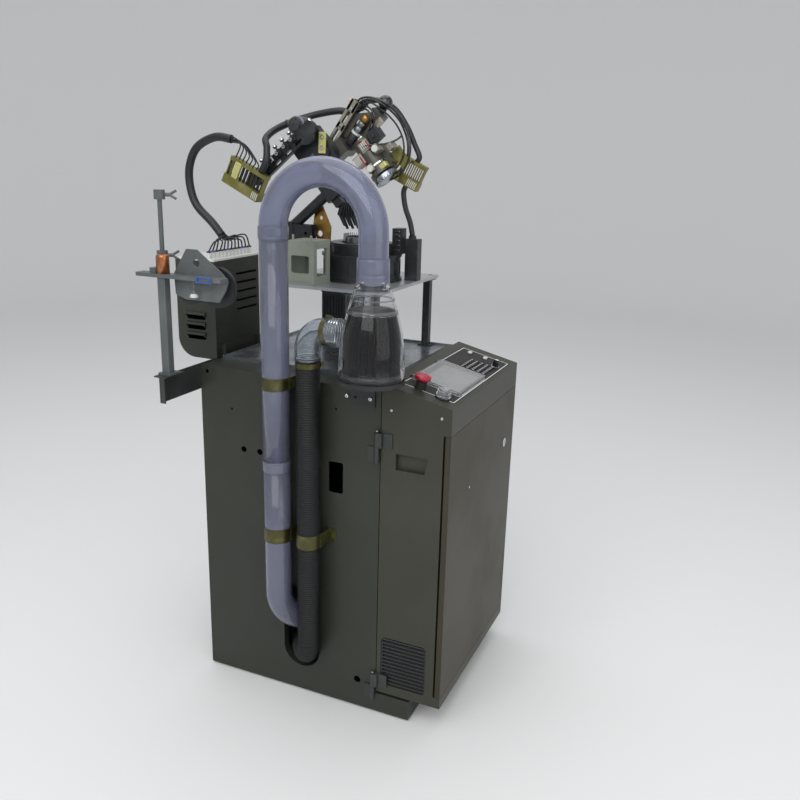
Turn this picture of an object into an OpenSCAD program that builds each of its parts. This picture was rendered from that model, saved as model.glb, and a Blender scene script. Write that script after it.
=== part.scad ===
// Sock knitting machine: a floor-standing base with a swinging control cabinet, a work table with the
// needle cylinder, a tilted head above it, and the clear tube that carries the socks to a collector jar.
// Corner frame used inside the modules: x runs across the machine from its left side, y from the
// cabinet's front to the rear, z up from the floor.

/* [Base] */
// Width of the base and cabinet, left to right
base_w = 522; // [480:1:560]
// Depth of the base behind the cabinet
base_d = 512; // [480:1:540]
// Height of the base's top
base_h = 874; // [860:1:890]
// Thickness of folded sheet
sheet = 3; // [2:0.5:4]
// Height of the feet under the base
foot_h = 5; // [3:1:12]
// Diameter of a foot
foot_d = 60; // [40:2:80]
// Width of the flange round the base's top
flange_w = 92; // [80:1:100]
// Width of the round-bottomed opening in the side
hole_w = 107; // [100:1:112]
// Height of the opening's lowest point
hole_bottom = 76; // [70:1:82]
// Height of the opening's flat top
hole_top = 310; // [300:1:340]
// Depth of the collar inside the opening
collar_depth = 22; // [10:1:30]

/* [Cabinet] */
// Depth of the cabinet at its foot
cab_d = 176; // [170:1:180]
// Gap between cabinet and base
cab_gap = 2; // [1:0.5:4]
// Height of the cabinet's floor
cab_bottom = 65; // [62:1:75]
// Height of the step plinth under the cabinet
plinth_h = 58; // [50:1:60]
// Depth of the step plinth
plinth_d = 94; // [80:1:110]
// Height where the door ends and the console begins
door_top = 788; // [775:1:795]
// Height where the door begins
door_bottom = 93; // [88:1:110]
// Depth of the door's folded edge
door_edge = 14; // [12:1:15]
// Width of the dark slit behind the door's edge
door_slit = 5; // [4:0.5:7]
// Diameter of the door's pivot pins
door_pin_d = 6; // [5:0.5:7]
// Height of the console's front edge
console_front = 853; // [845:1:858]
// Slope of the console's top, in degrees
console_slope = 13.2; // [11:0.1:13.4]
// Diameter of the cabinet's hinge barrels
barrel_d = 13.2; // [11:0.2:13.4]
// Diameter of the hinge pins
hinge_pin_d = 8; // [6:0.5:9]
// Running clearance of pins and shafts, on the radius
run_fit = 0.05; // [0.02:0.01:0.1]

/* [Console] */
// Width of the screen's cover
cover_w = 191; // [180:1:196]
// Length of the screen's cover along the slope
cover_l = 130; // [120:1:132]
// Height of the screen's cover
cover_h = 9; // [8:0.5:11]
// Diameter of the red stop button
estop_d = 40; // [36:1:42]
// Height of the red stop button above the panel
estop_h = 36; // [32:1:38]
// Travel of the red stop button
estop_travel = 5; // [4:0.5:6]
// Diameter of the speed knob
knob_d = 16; // [14:1:18]
// Pitch of the keys
key_pitch = 15; // [13:0.5:15.5]

/* [Sock tube] */
// Outer diameter of the clear sock tube
tube_d = 67; // [62:1:70]
// Wall of the clear tube
tube_wall = 3; // [2:0.5:4]
// Distance of the tube's axis from the side of the base
tube_out = 45; // [44:1:50]
// Place of the long leg along the depth
leg_y = 437; // [434:1:442]
// Place of the jar along the depth
jar_y = 183; // [180:1:186]
// Height where the tube's arch begins, above the jar's neck
arch_rise = 86; // [75:1:110]
// Height of the joint in the long leg
leg_joint_z = 650; // [620:1:680]
// Radius of the bend into the base
low_bend_r = 100; // [95:1:105]
// Height of the bend's end inside the base
low_bend_z = 215; // [210:1:222]

/* [Jar and suction] */
// Outer diameter of the collector jar
jar_d = 149; // [140:1:152]
// Height of the jar's bottom rim above the base
jar_lift = 41; // [38:1:48]
// Height of the jar with its neck
jar_h = 235; // [225:1:243]
// Outer diameter of the suction hose
hose_d = 59; // [56:1:60]
// Place of the suction hose along the depth
hose_y = 348; // [344:1:352]
// Height of the hose's upper end above the jar's rim
hose_rise = 22; // [12:1:30]
// Distance between two ribs of the hose
hose_pitch = 6; // [5:0.5:8]
// Outer diameter of the clear elbow
elbow_d = 62; // [60:1:64]
// Height of the jar's side port above its rim
port_h = 95; // [92:1:100]

/* [Work table] */
// Height of the table's top
table_z = 1080; // [1070:1:1090]
// Thickness of the table
table_t = 8; // [6:1:10]
// Width of the table
table_w = 395; // [380:1:398]
// Depth of the table
table_d = 345; // [335:1:350]
// Thickness of the table's square posts
post_w = 20; // [16:1:22]
// Radius of the needle cylinder
cyl_r = 51; // [48:0.5:53]
// Number of needle slots in the cylinder
needles = 48; // [36:4:60]
// Radius of the cam box round the cylinder
cam_r = 108; // [100:1:110]
// Height of the cam box
cam_h = 98; // [90:1:102]

/* [Rear] */
// Width of the valve box
valve_w = 209; // [190:1:215]
// Depth of the valve box
valve_d = 122; // [112:1:126]
// Height of the valve box
valve_h = 260; // [240:1:264]
// Number of air fittings on the valve box
fittings = 12; // [8:1:12]
// Length of the arm that carries the feeder post
arm_l = 157; // [150:1:165]
// Width of the feeder's square post
feeder_post_w = 22; // [18:1:24]
// Height of the feeder's bar
feeder_z = 1113; // [1100:1:1125]

/* [Head] */
// Tilt of the head, in degrees
head_tilt = 40; // [38:1:42]
// Diameter of the round arm that carries the head
head_arm_d = 28; // [24:1:30]
// Diameter of the head's motor
motor_d = 46; // [40:1:48]
// Diameter of the ball on the head's handle
ball_d = 37; // [32:1:38]
// Number of air tubes that enter a manifold
manifold_ways = 10; // [6:1:10]

/* [Hidden] */
$fn = 48;

// Places of the base and cabinet along the depth
base_y0 = cab_d + cab_gap;
base_y1 = base_y0 + base_d;
console_rear = console_front + cab_d * tan(console_slope);
door_recess = door_edge + door_slit;
// Axis of the cabinet's hinges
hinge_x = -barrel_d / 2 - 0.4;
hinge_y = base_y0 + 6;
// Axis of the door's pins
pin_x = sheet + door_pin_d / 2 + 1;
pin_y = door_edge / 2;
// Axis of the door's lock
lock_x = base_w - 94;
lock_z = 646;
lock_d = 18;
lock_proud = 4;
// Edge of the frame behind the door, and its opening
frame_l = 40;
frame_r = base_w - 67;
frame_z0 = door_bottom + 22;
frame_z1 = door_top - 22;
// Recessed grip in the cabinet's side
grip_y = [56, 137];
grip_z = [685, 726];
grip_depth = 16;
// Opening for the air filter in the cabinet's side
filter_y = [41, 165];
filter_z = [91, 228];
// Control panel, as distances from the left and up the slope
panel_x = [42, 484];
panel_s = [11, 154];
panel_t = 2.5;
cover_x = 99;
cover_s = 22;
cover_pin_s = cover_s + cover_l - 1;
cover_pin_n = 4;
key_x = 315;
key_s = 29;
estop_at = [57, 107];
selector_at = [50, 45];
knob_at = [420, 34];
start_at = [449, 120];
stop_at = [449, 74];

// Round-bottomed opening in the side
hole_y = 397;
hole_cz = hole_bottom + hole_w / 2;

// Work table and its posts
table_x1 = base_w + 5;
table_x0 = table_x1 - table_w;
table_y0 = 247;
table_y1 = table_y0 + table_d;
post_inset = 24;
tray_z = base_h + sheet;
post_places = [for (x = [table_x0 + post_inset, table_x1 - post_inset])
  for (y = [table_y0 + post_inset, table_y1 - post_inset]) [x, y]];

// Axis of the needle cylinder
cyl_x = 330;
cyl_y = 395;
cyl_bore = cyl_r - 7;
cyl_fit = 0.08;
// Levels of the cylinder's drive
pulley_z0 = table_z - table_t - 30;
pulley_h = 16;
tooth_pitch = 5;
big_teeth = 72;
small_teeth = 24;
big_r = big_teeth * tooth_pitch / (2 * PI);
small_r = small_teeth * tooth_pitch / (2 * PI);
motor_x = 432;
motor_y = 515;

// Tube, hose and jar
tube_r = tube_d / 2;
hose_r = hose_d / 2;
elbow_r = elbow_d / 2;
arch_r = (leg_y - jar_y) / 2;
arch_y = (leg_y + jar_y) / 2;
bell_t = 2;
bell_l = 26;
fit = 0.1;
bend_turn = -30;
low_leg_z = low_bend_z + low_bend_r;
shoulder_r = tube_r + 3.5;
jar_r = jar_d / 2;
jar_bottom = base_h + jar_lift;
jar_top = jar_bottom + jar_h;
jar_shoulder = jar_top - 19;
jar_full = jar_bottom + 35;
arch_z = jar_top + arch_rise;
hose_top = jar_bottom + hose_rise;
elbow_z = jar_bottom + port_h;
hose_turn = 40;
hose_bend_r = 90;
hose_low_z = 120;
elbow_bend_r = 45;
elbow_y = hose_y - elbow_bend_r;
port_y = 262;

// Air fan inside the base
fan_r = 88;
impeller_r = 78;
hose_end_r = hose_bend_r;
fan_y = hose_y + hose_bend_r * sin(hose_turn) + hose_end_r * (1 - cos(hose_turn));
fan_x0 = -tube_out + hose_bend_r * cos(hose_turn) + hose_end_r * sin(hose_turn);
fan_x1 = fan_x0 + 90;

// Valve box behind the base
valve_x0 = 91;
valve_x1 = valve_x0 + valve_w;
valve_y0 = base_y1 + 14;
valve_y1 = valve_y0 + valve_d;
valve_z0 = base_h - 8;
valve_z1 = valve_z0 + valve_h;
fitting_y = valve_y0 + 22;
fitting_pitch = (valve_w - 22) / (fittings - 1);

// Feeder arm and post
arm_z0 = base_h - 62;
arm_z1 = base_h + 4;
post_x = -125;
post_y = base_y1;
bar_y0 = 519;
bar_y1 = 759;
drum_t = 14;
drum_rear_x = post_x + 22;
drum_front_x = drum_rear_x + drum_t + 2;
drum_rear_at = [629, 1088];
drum_front_at = [567, 1093];

// Overall reach, which sets the shared origin on the floor
conduit_reach = 866;
mid_x = (table_x1 - arm_l) / 2;
mid_y = (conduit_reach - lock_proud) / 2;

// Children raised by a height
module up(z) {
  translate([0, 0, z]) children();
}

// Helpers
module placed() {
  translate([-mid_x, -mid_y, 0]) children();
}

// Block between two opposite corners
module block(a, b) {
  translate(a) cube(b - a);
}

// Round bar between two points
module rod(a, b, d) {
  v = b - a;
  l = norm(v);
  translate(a) rotate([0, acos(v.z / l), atan2(v.y, v.x)]) cylinder(h = l, d = d);
}

// Extrudes an outline drawn in y and z along x
module along_x(x0, x1) {
  translate([x0, 0, 0]) rotate([90, 0, 90]) linear_extrude(x1 - x0) children();
}

// Flat outline with round corners
module soft_rect(w, h, r) {
  translate([r, 0]) square([w - 2 * r, h]);
  translate([0, r]) square([w, h - 2 * r]);
  for (x = [r, w - r], y = [r, h - r]) translate([x, y]) circle(r);
}

// Flat bar with round ends between two points of an outline
module link(a, b, w) {
  v = b - a;
  translate(a) rotate(atan2(v.y, v.x)) translate([0, -0.495 * w]) square([norm(v), 0.99 * w]);
  translate(a) circle(d = w);
  translate(b) circle(d = w);
}

// Moves to the sloping panel: x across, y up the slope, z off the panel
module on_console() {
  up(console_front) rotate([console_slope, 0, 0]) children();
}

// Directions along a route
function unit(v) = v / norm(v);
function heading(p, i) = unit(p[min(i + 1, len(p) - 1)] - p[max(i - 1, 0)]);

// Round cord along a route: one closed skin with a flat end square to each given direction
module cord(p, d, sides, first, last, side = [1, 0, 0]) {
  n = len(p);
  rings = [for (i = [0:n - 1])
    let(h = i == 0 ? unit(first) : i == n - 1 ? unit(last) : heading(p, i),
      u = unit(cross(h, abs(h * side) > 0.95 ? [0, 1, 0] : side)), v = cross(h, u))
    for (k = [0:sides - 1]) p[i] + d / 2 * (cos(360 * k / sides) * u + sin(360 * k / sides) * v)];
  walls = [for (i = [0:n - 2], k = [0:sides - 1]) let(a = i * sides, b = (k + 1) % sides)
    [a + k, a + sides + k, a + sides + b, a + b]];
  polyhedron(rings, concat(walls, [[for (k = [0:sides - 1]) k]],
    [[for (k = [sides - 1:-1:0]) (n - 1) * sides + k]]));
}

// Outline of the round-bottomed opening, in y and z
module hole_outline(grow = 0) {
  r = hole_w / 2 + grow;
  translate([hole_y, hole_cz]) circle(r);
  translate([hole_y - r, hole_cz]) square([2 * r, hole_top + grow - hole_cz]);
}

// Base: a folded sheet body with a top flange, a step plinth and openings in its left side
module base_body() {
  round_holes = [[202, 852, 3], [297, 813, 3], [597, 770, 3], [564, 666, 8], [516, 666, 8],
    [231, 83, 9.5], [670, 860, 5]];
  rim = 24;
  color("#5d625a") placed() difference() {
    union() {
      difference() {
        block([0, base_y0, foot_h], [base_w, base_y1, base_h]);
        block([sheet, base_y0 + sheet, foot_h + sheet],
          [base_w - sheet, base_y1 - sheet, base_h - sheet]);
        block([flange_w, base_y0 + rim, base_h - 2 * sheet],
          [base_w - rim, base_y1 - rim, base_h + 1]);
      }
      along_x(0, collar_depth) hole_outline(sheet);
      block([0, base_y0 - plinth_d, foot_h], [base_w, base_y0, plinth_h]);
    }
    along_x(-1, collar_depth + 1) hole_outline();
    along_x(-1, sheet + 1) translate([277, 596]) soft_rect(40, 81, 5);
    for (h = round_holes) along_x(-1, sheet + 1) translate([h[0], h[1]]) circle(h[2]);
    for (f = foot_places()) translate([f.x, f.y, 0]) cylinder(h = foot_h + 2 * sheet, d = stud_d + 1);
  }
}

stud_d = 12;
stud_h = 34;
function foot_places() = [for (x = [foot_d / 2 + 8, base_w - foot_d / 2 - 8])
  for (y = [base_y0 + foot_d / 2 + 8, base_y1 - foot_d / 2 - 8]) [x, y]];

// Feet: a pad with a stud through the base's floor and a nut on it
module levelling_feet() {
  color("#26282a") placed() for (f = foot_places()) translate([f.x, f.y, 0]) difference() {
    union() {
      cylinder(h = foot_h, d = foot_d);
      cylinder(h = stud_h, d = stud_d);
      up(foot_h + sheet) cylinder(h = 9, d = stud_d * 1.9, $fn = 6);
    }
    up(stud_h - 6) cylinder(h = 7, d = 4);
  }
}

// Oil tray: a bright plate on the base's top with a lip and a hole for the pipe
module oil_tray() {
  x0 = flange_w - 10;
  x1 = base_w - 2;
  y0 = base_y0 + 13;
  y1 = base_y1 - 12;
  lip = 7;
  color("#9ea3a8") placed() difference() {
    union() {
      block([x0, y0, base_h], [x1, y1, tray_z]);
      block([x0, y0, base_h], [x1, y0 + 11, tray_z + lip]);
      block([x0, y1 - 2, base_h], [x1, y1, tray_z + lip]);
      block([x1 - 2, y0, base_h], [x1, y1, tray_z + lip]);
      block([x0, y0, base_h], [x0 + 2, y1, tray_z + lip]);
      translate([cyl_x, cyl_y, base_h]) cylinder(h = sheet + 8, r = pipe_r + 5);
    }
    translate([cyl_x, cyl_y, base_h - 1]) cylinder(h = sheet + 12, r = pipe_r + 2);
  }
}

pipe_r = 31;
pipe_z0 = 380;

// Square posts between the tray and the table, each on a foot plate
module table_posts() {
  color("#3c4043") placed() for (p = post_places) translate([p.x, p.y, 0]) difference() {
    union() {
      block([-post_w / 2, -post_w / 2, tray_z], [post_w / 2, post_w / 2, table_z - table_t]);
      for (z = [tray_z, table_z - table_t - 4])
        block([-0.7 * post_w, -post_w, z], [0.7 * post_w, post_w, z + 4]);
    }
    for (s = [-1, 1]) translate([0, s * 0.75 * post_w, tray_z - 1]) cylinder(h = 6, d = 5);
  }
}

// Work table: a thick bright plate with a hole for the needle cylinder
module work_table() {
  color("#a5abb0") placed() difference() {
    translate([table_x0, table_y0, table_z - table_t]) linear_extrude(table_t)
      soft_rect(table_w, table_d, 6);
    translate([cyl_x, cyl_y, table_z - table_t - 1]) cylinder(h = table_t + 2, r = bush_r + fit);
    for (s = [-1, 1]) translate([cyl_x + 90 + 20 * s, table_y1 - 34, table_z - table_t - 1])
      cylinder(h = table_t + 2, d = 7);
  }
}

bush_r = cyl_r + 9;

// Cross-section of the clear tube
module tube_section() {
  difference() {
    circle(r = tube_r);
    circle(r = tube_r - tube_wall);
  }
}

// Upright stretch of the clear tube between two heights
module tube_run(z0, z1) {
  up(z0) linear_extrude(z1 - z0) tube_section();
}

// Widened end that takes the next tube, with a ledge for it at height z
module tube_bell(z) {
  ledge = 4;
  difference() {
    up(z - ledge) cylinder(h = bell_l + ledge, r = tube_r + fit + bell_t);
    up(z) cylinder(h = bell_l + 1, r = tube_r + fit);
    up(z - ledge - 1) cylinder(h = bell_l, r = tube_r - tube_wall);
  }
}

// Bend from straight down to level, towards +x
module quarter_bend(r, turn = 90) {
  translate([r, 0, 0]) rotate([90, 0, 0]) rotate([0, 0, 180]) rotate_extrude(angle = turn)
    translate([r, 0]) children();
}

// Arch of the sock tube, with its short leg over the jar's neck
module sock_tube_arch() {
  socket_h = 54;
  color("#b9bdd0", 0.5) placed() {
    translate([-tube_out, arch_y, arch_z]) rotate([90, 0, 90]) rotate_extrude(angle = 180)
      translate([arch_r, 0]) tube_section();
    translate([-tube_out, leg_y, 0]) tube_run(arch_z - bell_l + 4, arch_z);
    translate([-tube_out, jar_y, 0]) {
      tube_run(jar_top, arch_z);
      difference() {
        up(jar_shoulder) cylinder(h = socket_h, r = shoulder_r - 0.4);
        up(jar_shoulder - 1) cylinder(h = jar_top - jar_shoulder + 1, r = tube_r + fit);
        up(jar_shoulder) cylinder(h = socket_h + 1, r = tube_r - tube_wall);
      }
    }
  }
}

// Long leg of the sock tube
module sock_tube_leg() {
  top = arch_z - bell_l + 4;
  color("#aab0d2", 0.5) placed() translate([-tube_out, leg_y, 0]) {
    tube_run(leg_joint_z, top);
    tube_bell(top);
  }
}

// Lower end of the sock tube, which turns into the base
module sock_tube_bend() {
  color("#a4abd6", 0.5) placed() translate([-tube_out, leg_y, 0]) {
    tube_bell(leg_joint_z);
    tube_run(low_leg_z + 5, leg_joint_z);
    up(low_leg_z) difference() {
      cylinder(h = 5, r = tube_r + 1);
      up(-1) cylinder(h = 7, r = tube_r - tube_wall - 0.4);
    }
    up(low_leg_z) rotate([0, 0, bend_turn]) quarter_bend(low_bend_r) tube_section();
  }
}

// Band round a pipe with ears and a foot on the base's side
module side_band(y, r, z0, z1, foot_z1) {
  t = 1.8;
  difference() {
    union() {
      translate([-tube_out, y, z0]) cylinder(h = z1 - z0, r = r + t);
      for (s = [-1, 1]) block([-tube_out + 2, y + s * (r + t / 2) - 3, z0], [0, y + s * (r + t / 2) + 3, z1]);
    }
    translate([-tube_out, y, z0 - 1]) cylinder(h = z1 - z0 + 2, r = r + fit);
    block([-tube_out, y - r - fit, z0 - 1], [1, y + r + fit, z1 + 1]);
  }
  for (s = [-1, 1]) difference() {
    block([-t, y + s * (r + 12) - 12, z0], [0, y + s * (r + 12) + 12, foot_z1]);
    block([-t - 1, y - r - fit, z0 - 1], [1, y + r + fit, foot_z1 + 1]);
    rod([-t - 1, y + s * (r + 16), z0 + 8], [1, y + s * (r + 16), z0 + 8], 5);
  }
}

// Thin steel band with a worm housing, about the z axis
module worm_band(r) {
  band_h = 12;
  difference() {
    cylinder(h = band_h, r = r + 1);
    up(-1) cylinder(h = band_h + 2, r = r + fit / 2);
  }
  block([r + 0.9, -7, 0], [r + 7, 7, band_h]);
  rod([r + 4.5, -15, band_h / 2], [r + 4.5, -7, band_h / 2], 7);
}

// Bands round the tubes: wide ones on the base's side, thin ones on the elbow
module pipe_clamps() {
  color("#7d7a4c") placed() {
    side_band(leg_y, tube_r, base_h - 17, base_h + 13, base_h - 1);
    difference() {
      side_band(leg_y, tube_r, 462, 498, 498);
      block([-5, 370, 461], [1, 421, 499]);
    }
    difference() {
      side_band(hose_y, hose_r, 462, 498, 498);
      block([-5, 365, 461], [1, 415, 499]);
    }
    translate([-tube_out, hose_y, hose_top - 16]) rotate([0, 0, -60]) worm_band(hose_r);
    translate([-tube_out, port_y + 42, elbow_z]) rotate([90, 0, 0]) rotate([0, 0, 70])
      worm_band(elbow_r);
  }
}

// Ribbed black hose from the elbow down and into the base, to the fan
module suction_hose() {
  groove = 1.7;
  wall = 3.4;
  bore = hose_r - wall;
  z0 = hose_low_z + hose_bend_r;
  ribs = floor((hose_top - z0) / hose_pitch);
  top_plain = hose_top - z0 - ribs * hose_pitch;
  wave = [for (i = [1:ribs - 1]) each [[hose_r - groove, z0 + i * hose_pitch],
    [hose_r, z0 + (i + 0.35) * hose_pitch], [hose_r, z0 + (i + 0.65) * hose_pitch]]];
  color("#17181a") placed() translate([-tube_out, hose_y, 0]) {
    rotate_extrude() polygon(concat([[bore - 0.4, z0], [hose_r, z0], [hose_r, z0 + 3]], wave,
      [[hose_r - groove, hose_top - top_plain], [hose_r - groove, hose_top], [bore, hose_top],
      [bore, z0 + 3], [bore - 0.4, z0 + 3]]));
    up(z0) rotate([0, 0, hose_turn]) quarter_bend(hose_bend_r)
      hose_section(bore, hose_r - groove);
    translate([hose_bend_r * cos(hose_turn) + hose_end_r * sin(hose_turn),
      hose_bend_r * sin(hose_turn) - hose_end_r * cos(hose_turn), hose_low_z])
      rotate([0, 0, 90]) rotate_extrude(angle = hose_turn) translate([hose_end_r, 0])
      hose_section(bore, hose_r - groove);
  }
}

module hose_section(bore, r) {
  difference() {
    circle(r);
    circle(bore);
  }
}

// Clear elbow from the jar's side port to the hose, with a spigot in the hose
module jar_elbow() {
  bore = elbow_r - 3;
  color("#c3c9cf", 0.5) placed() {
    translate([-tube_out, hose_y, 0]) difference() {
      union() {
        up(hose_top) cylinder(h = elbow_z - elbow_bend_r - hose_top, r = elbow_r);
        up(hose_top - 24) cylinder(h = 25, r = hose_r - 3.4 - fit);
      }
      up(hose_top + 10) cylinder(h = 90, r = bore);
      up(hose_top - 25) cylinder(h = 40, r = hose_r - 3.4 - 3);
    }
    translate([-tube_out, elbow_y, elbow_z - elbow_bend_r]) rotate([90, 0, 90])
      rotate_extrude(angle = 90) translate([elbow_bend_r, 0]) hose_section(bore, elbow_r);
    translate([-tube_out, elbow_y, elbow_z]) rotate([90, 0, 0]) difference() {
      union() {
        cylinder(h = elbow_y - port_y, r = elbow_r);
        for (i = [0:3]) up(elbow_y - port_y - 4 - 6.5 * i) cylinder(h = 3.5, r = elbow_r + 2.5);
      }
      up(-1) cylinder(h = elbow_y - port_y + 2, r = bore);
    }
  }
}

// Radius of the jar's flare at a height
function bell_r(z) = shoulder_r + (jar_r - shoulder_r)
  * sin(90 * min(1, (jar_shoulder - z) / (jar_shoulder - jar_full)));

// Half outline of the flare, set in by a wall
function bell_side(inset) = [for (i = [0:14]) let(z = jar_shoulder + (jar_full - jar_shoulder) * i / 14)
  [bell_r(z) - inset, z]];

// Collector jar: a clear bell with a neck on top and a port at its side
module collector_jar() {
  wall = 2.5;
  port_r = elbow_r - 3 - fit;
  rim = 6;
  color("#c9ccd2", 0.5) placed() translate([-tube_out, jar_y, 0]) difference() {
    union() {
      rotate_extrude() polygon(concat([[0, jar_top], [tube_r, jar_top], [tube_r, jar_shoulder]],
        bell_side(0), [[jar_r, jar_bottom + rim], [jar_r + 1.5, jar_bottom + rim],
        [jar_r + 1.5, jar_bottom], [0, jar_bottom]]));
      up(elbow_z) rotate([-90, 0, 0]) cylinder(h = port_y - jar_y + 22, r = port_r);
      up(elbow_z) rotate([-90, 0, 0]) cylinder(h = port_y - jar_y, r = elbow_r);
    }
    difference() {
      rotate_extrude() polygon(concat([[0, jar_top + 1], [tube_r - tube_wall, jar_top + 1],
        [tube_r - tube_wall, jar_shoulder - 3]], [for (p = bell_side(wall)) if (p.y < jar_shoulder - 8) p],
        [[jar_r - wall, jar_bottom - 1], [0, jar_bottom - 1]]));
      difference() {
        up(jar_shoulder - 33) cylinder(h = 40, r = tube_r - tube_wall + 1.5);
        up(jar_shoulder - 34) cylinder(h = 60, r = tube_r - tube_wall - 1);
      }
    }
    up(elbow_z) rotate([-90, 0, 0]) cylinder(h = port_y, r = port_r - 2.5);
  }
}

// Pleated filter inside the jar, between two end rings
module collector_filter() {
  pleats = 36;
  z0 = jar_bottom + 14;
  z1 = jar_bottom + 141;
  r_out = 50;
  r_in = 44;
  color("#1b1c1e") placed() translate([-tube_out, jar_y, 0]) difference() {
    union() {
      up(z0) linear_extrude(z1 - z0) polygon([for (i = [0:2 * pleats - 1])
        let(r = i % 2 == 0 ? r_out : r_in, a = 180 * i / pleats) [r * cos(a), r * sin(a)]]);
      up(z1) cylinder(h = 6, r = r_out + 3);
      up(jar_bottom) cylinder(h = 14, r = r_out + 3);
    }
    up(z0) cylinder(h = z1, r = r_in - 6);
  }
}

// Black foot of the jar on its bracket, bolted to the base's side
module collector_base() {
  plate_t = 10;
  leaf = 5;
  y0 = base_y0 + 14;
  y1 = y0 + 62;
  color("#222427") placed() difference() {
    union() {
      translate([-tube_out, jar_y, jar_bottom - plate_t]) cylinder(h = plate_t, r = jar_r + 3);
      block([-tube_out, y0, jar_bottom - plate_t - 6], [0, y1, jar_bottom - plate_t + 1]);
      block([-leaf, y0, base_h - 42], [0, y1, jar_bottom - plate_t]);
    }
    for (y = [y0 + 12, y1 - 12]) rod([-leaf - 1, y, base_h - 22], [1, y, base_h - 22], 7);
  }
}

// Route of the hose from the sock tube to the pipe under the cylinder
take_down_start = [-tube_out + low_bend_r * cos(bend_turn), leg_y + low_bend_r * sin(bend_turn), low_bend_z];
take_down_route = [take_down_start, [85, 360, 227], [140, 345, 258], [210, 348, 290], [285, 368, 305],
  [322, 388, 335], [cyl_x, cyl_y, pipe_z0]];

module take_down_hose() {
  color("#202124") placed() cord(take_down_route, 2 * pipe_r, 12,
    [cos(bend_turn), sin(bend_turn), 0], [0, 0, 1], [0, 1, 0]);
}

// Straight pipe from the hose up to the needle cylinder
module down_pipe() {
  color("#6f7478") placed() translate([cyl_x, cyl_y, 0]) difference() {
    union() {
      up(pipe_z0) cylinder(h = pulley_z0 - 6 - pipe_z0, r = pipe_r);
      up(pipe_z0) cylinder(h = 10, r = pipe_r + 4);
      up(tray_z + 8) cylinder(h = 5, r = pipe_r + 8);
    }
    up(pipe_z0 + 4) cylinder(h = pulley_z0, r = pipe_r - 3);
  }
}

// Air fan: a round housing on two feet, with its motor and an upward outlet
module suction_fan() {
  wall = 4;
  motor_l = 120;
  motor_r = 55;
  hub_gap = 1;
  floor_z = foot_h + sheet;
  color("#3a3d40") placed() difference() {
    union() {
      rod([fan_x0, fan_y, hose_low_z], [fan_x0 + 12, fan_y, hose_low_z], hose_d);
      rod([fan_x0 + 10, fan_y, hose_low_z], [fan_x1, fan_y, hose_low_z], 2 * fan_r);
      rod([fan_x1, fan_y, hose_low_z], [fan_x1 + motor_l, fan_y, hose_low_z], 2 * motor_r);
      block([fan_x0 + 20, fan_y + fan_r - 62, hose_low_z], [fan_x1 - 10, fan_y + fan_r, hose_low_z + 150]);
      for (x = [fan_x0 + 20, fan_x1 + motor_l - 40])
        block([x, fan_y - 50, floor_z], [x + 26, fan_y + 50, hose_low_z - 20]);
    }
    rod([fan_x0 + 10 + wall, fan_y, hose_low_z], [fan_x1 - wall, fan_y, hose_low_z], 2 * (fan_r - wall));
    rod([fan_x0 - 1, fan_y, hose_low_z], [fan_x0 + 20, fan_y, hose_low_z], hose_d - 8);
    block([fan_x0 + 24, fan_y + fan_r - 58, hose_low_z], [fan_x1 - 14, fan_y + fan_r - wall, hose_low_z + 151]);
    rod([fan_x1 - wall - 1, fan_y, hose_low_z], [fan_x1 + 40, fan_y, hose_low_z], 2 * (shaft_r + run_fit));
    for (a = [0:15:345]) rotate_about_x(a, fan_y, hose_low_z)
      block([fan_x1 + 30, -1.5, motor_r - 5], [fan_x1 + motor_l - 12, 1.5, motor_r + 1]);
  }
}

shaft_r = 7;

// Turns about a level axis that runs along x
module rotate_about_x(a, y, z) {
  translate([0, y, z]) rotate([a, 0, 0]) children();
}

// Fan wheel with its shaft
module fan_impeller() {
  blades = 12;
  x0 = fan_x0 + 26;
  x1 = fan_x1 - 12;
  color("#8c9196") placed() {
    rod([x1 - 4, fan_y, hose_low_z], [x1, fan_y, hose_low_z], 2 * impeller_r);
    rod([x0 + 8, fan_y, hose_low_z], [x1, fan_y, hose_low_z], 30);
    rod([x1, fan_y, hose_low_z], [fan_x1 + 38, fan_y, hose_low_z], 2 * shaft_r);
    for (k = [0:blades - 1]) rotate_about_x(360 * k / blades, fan_y, hose_low_z)
      block([x0, -1.5, 14], [x1 - 1, 1.5, impeller_r - 1]);
  }
}

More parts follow.
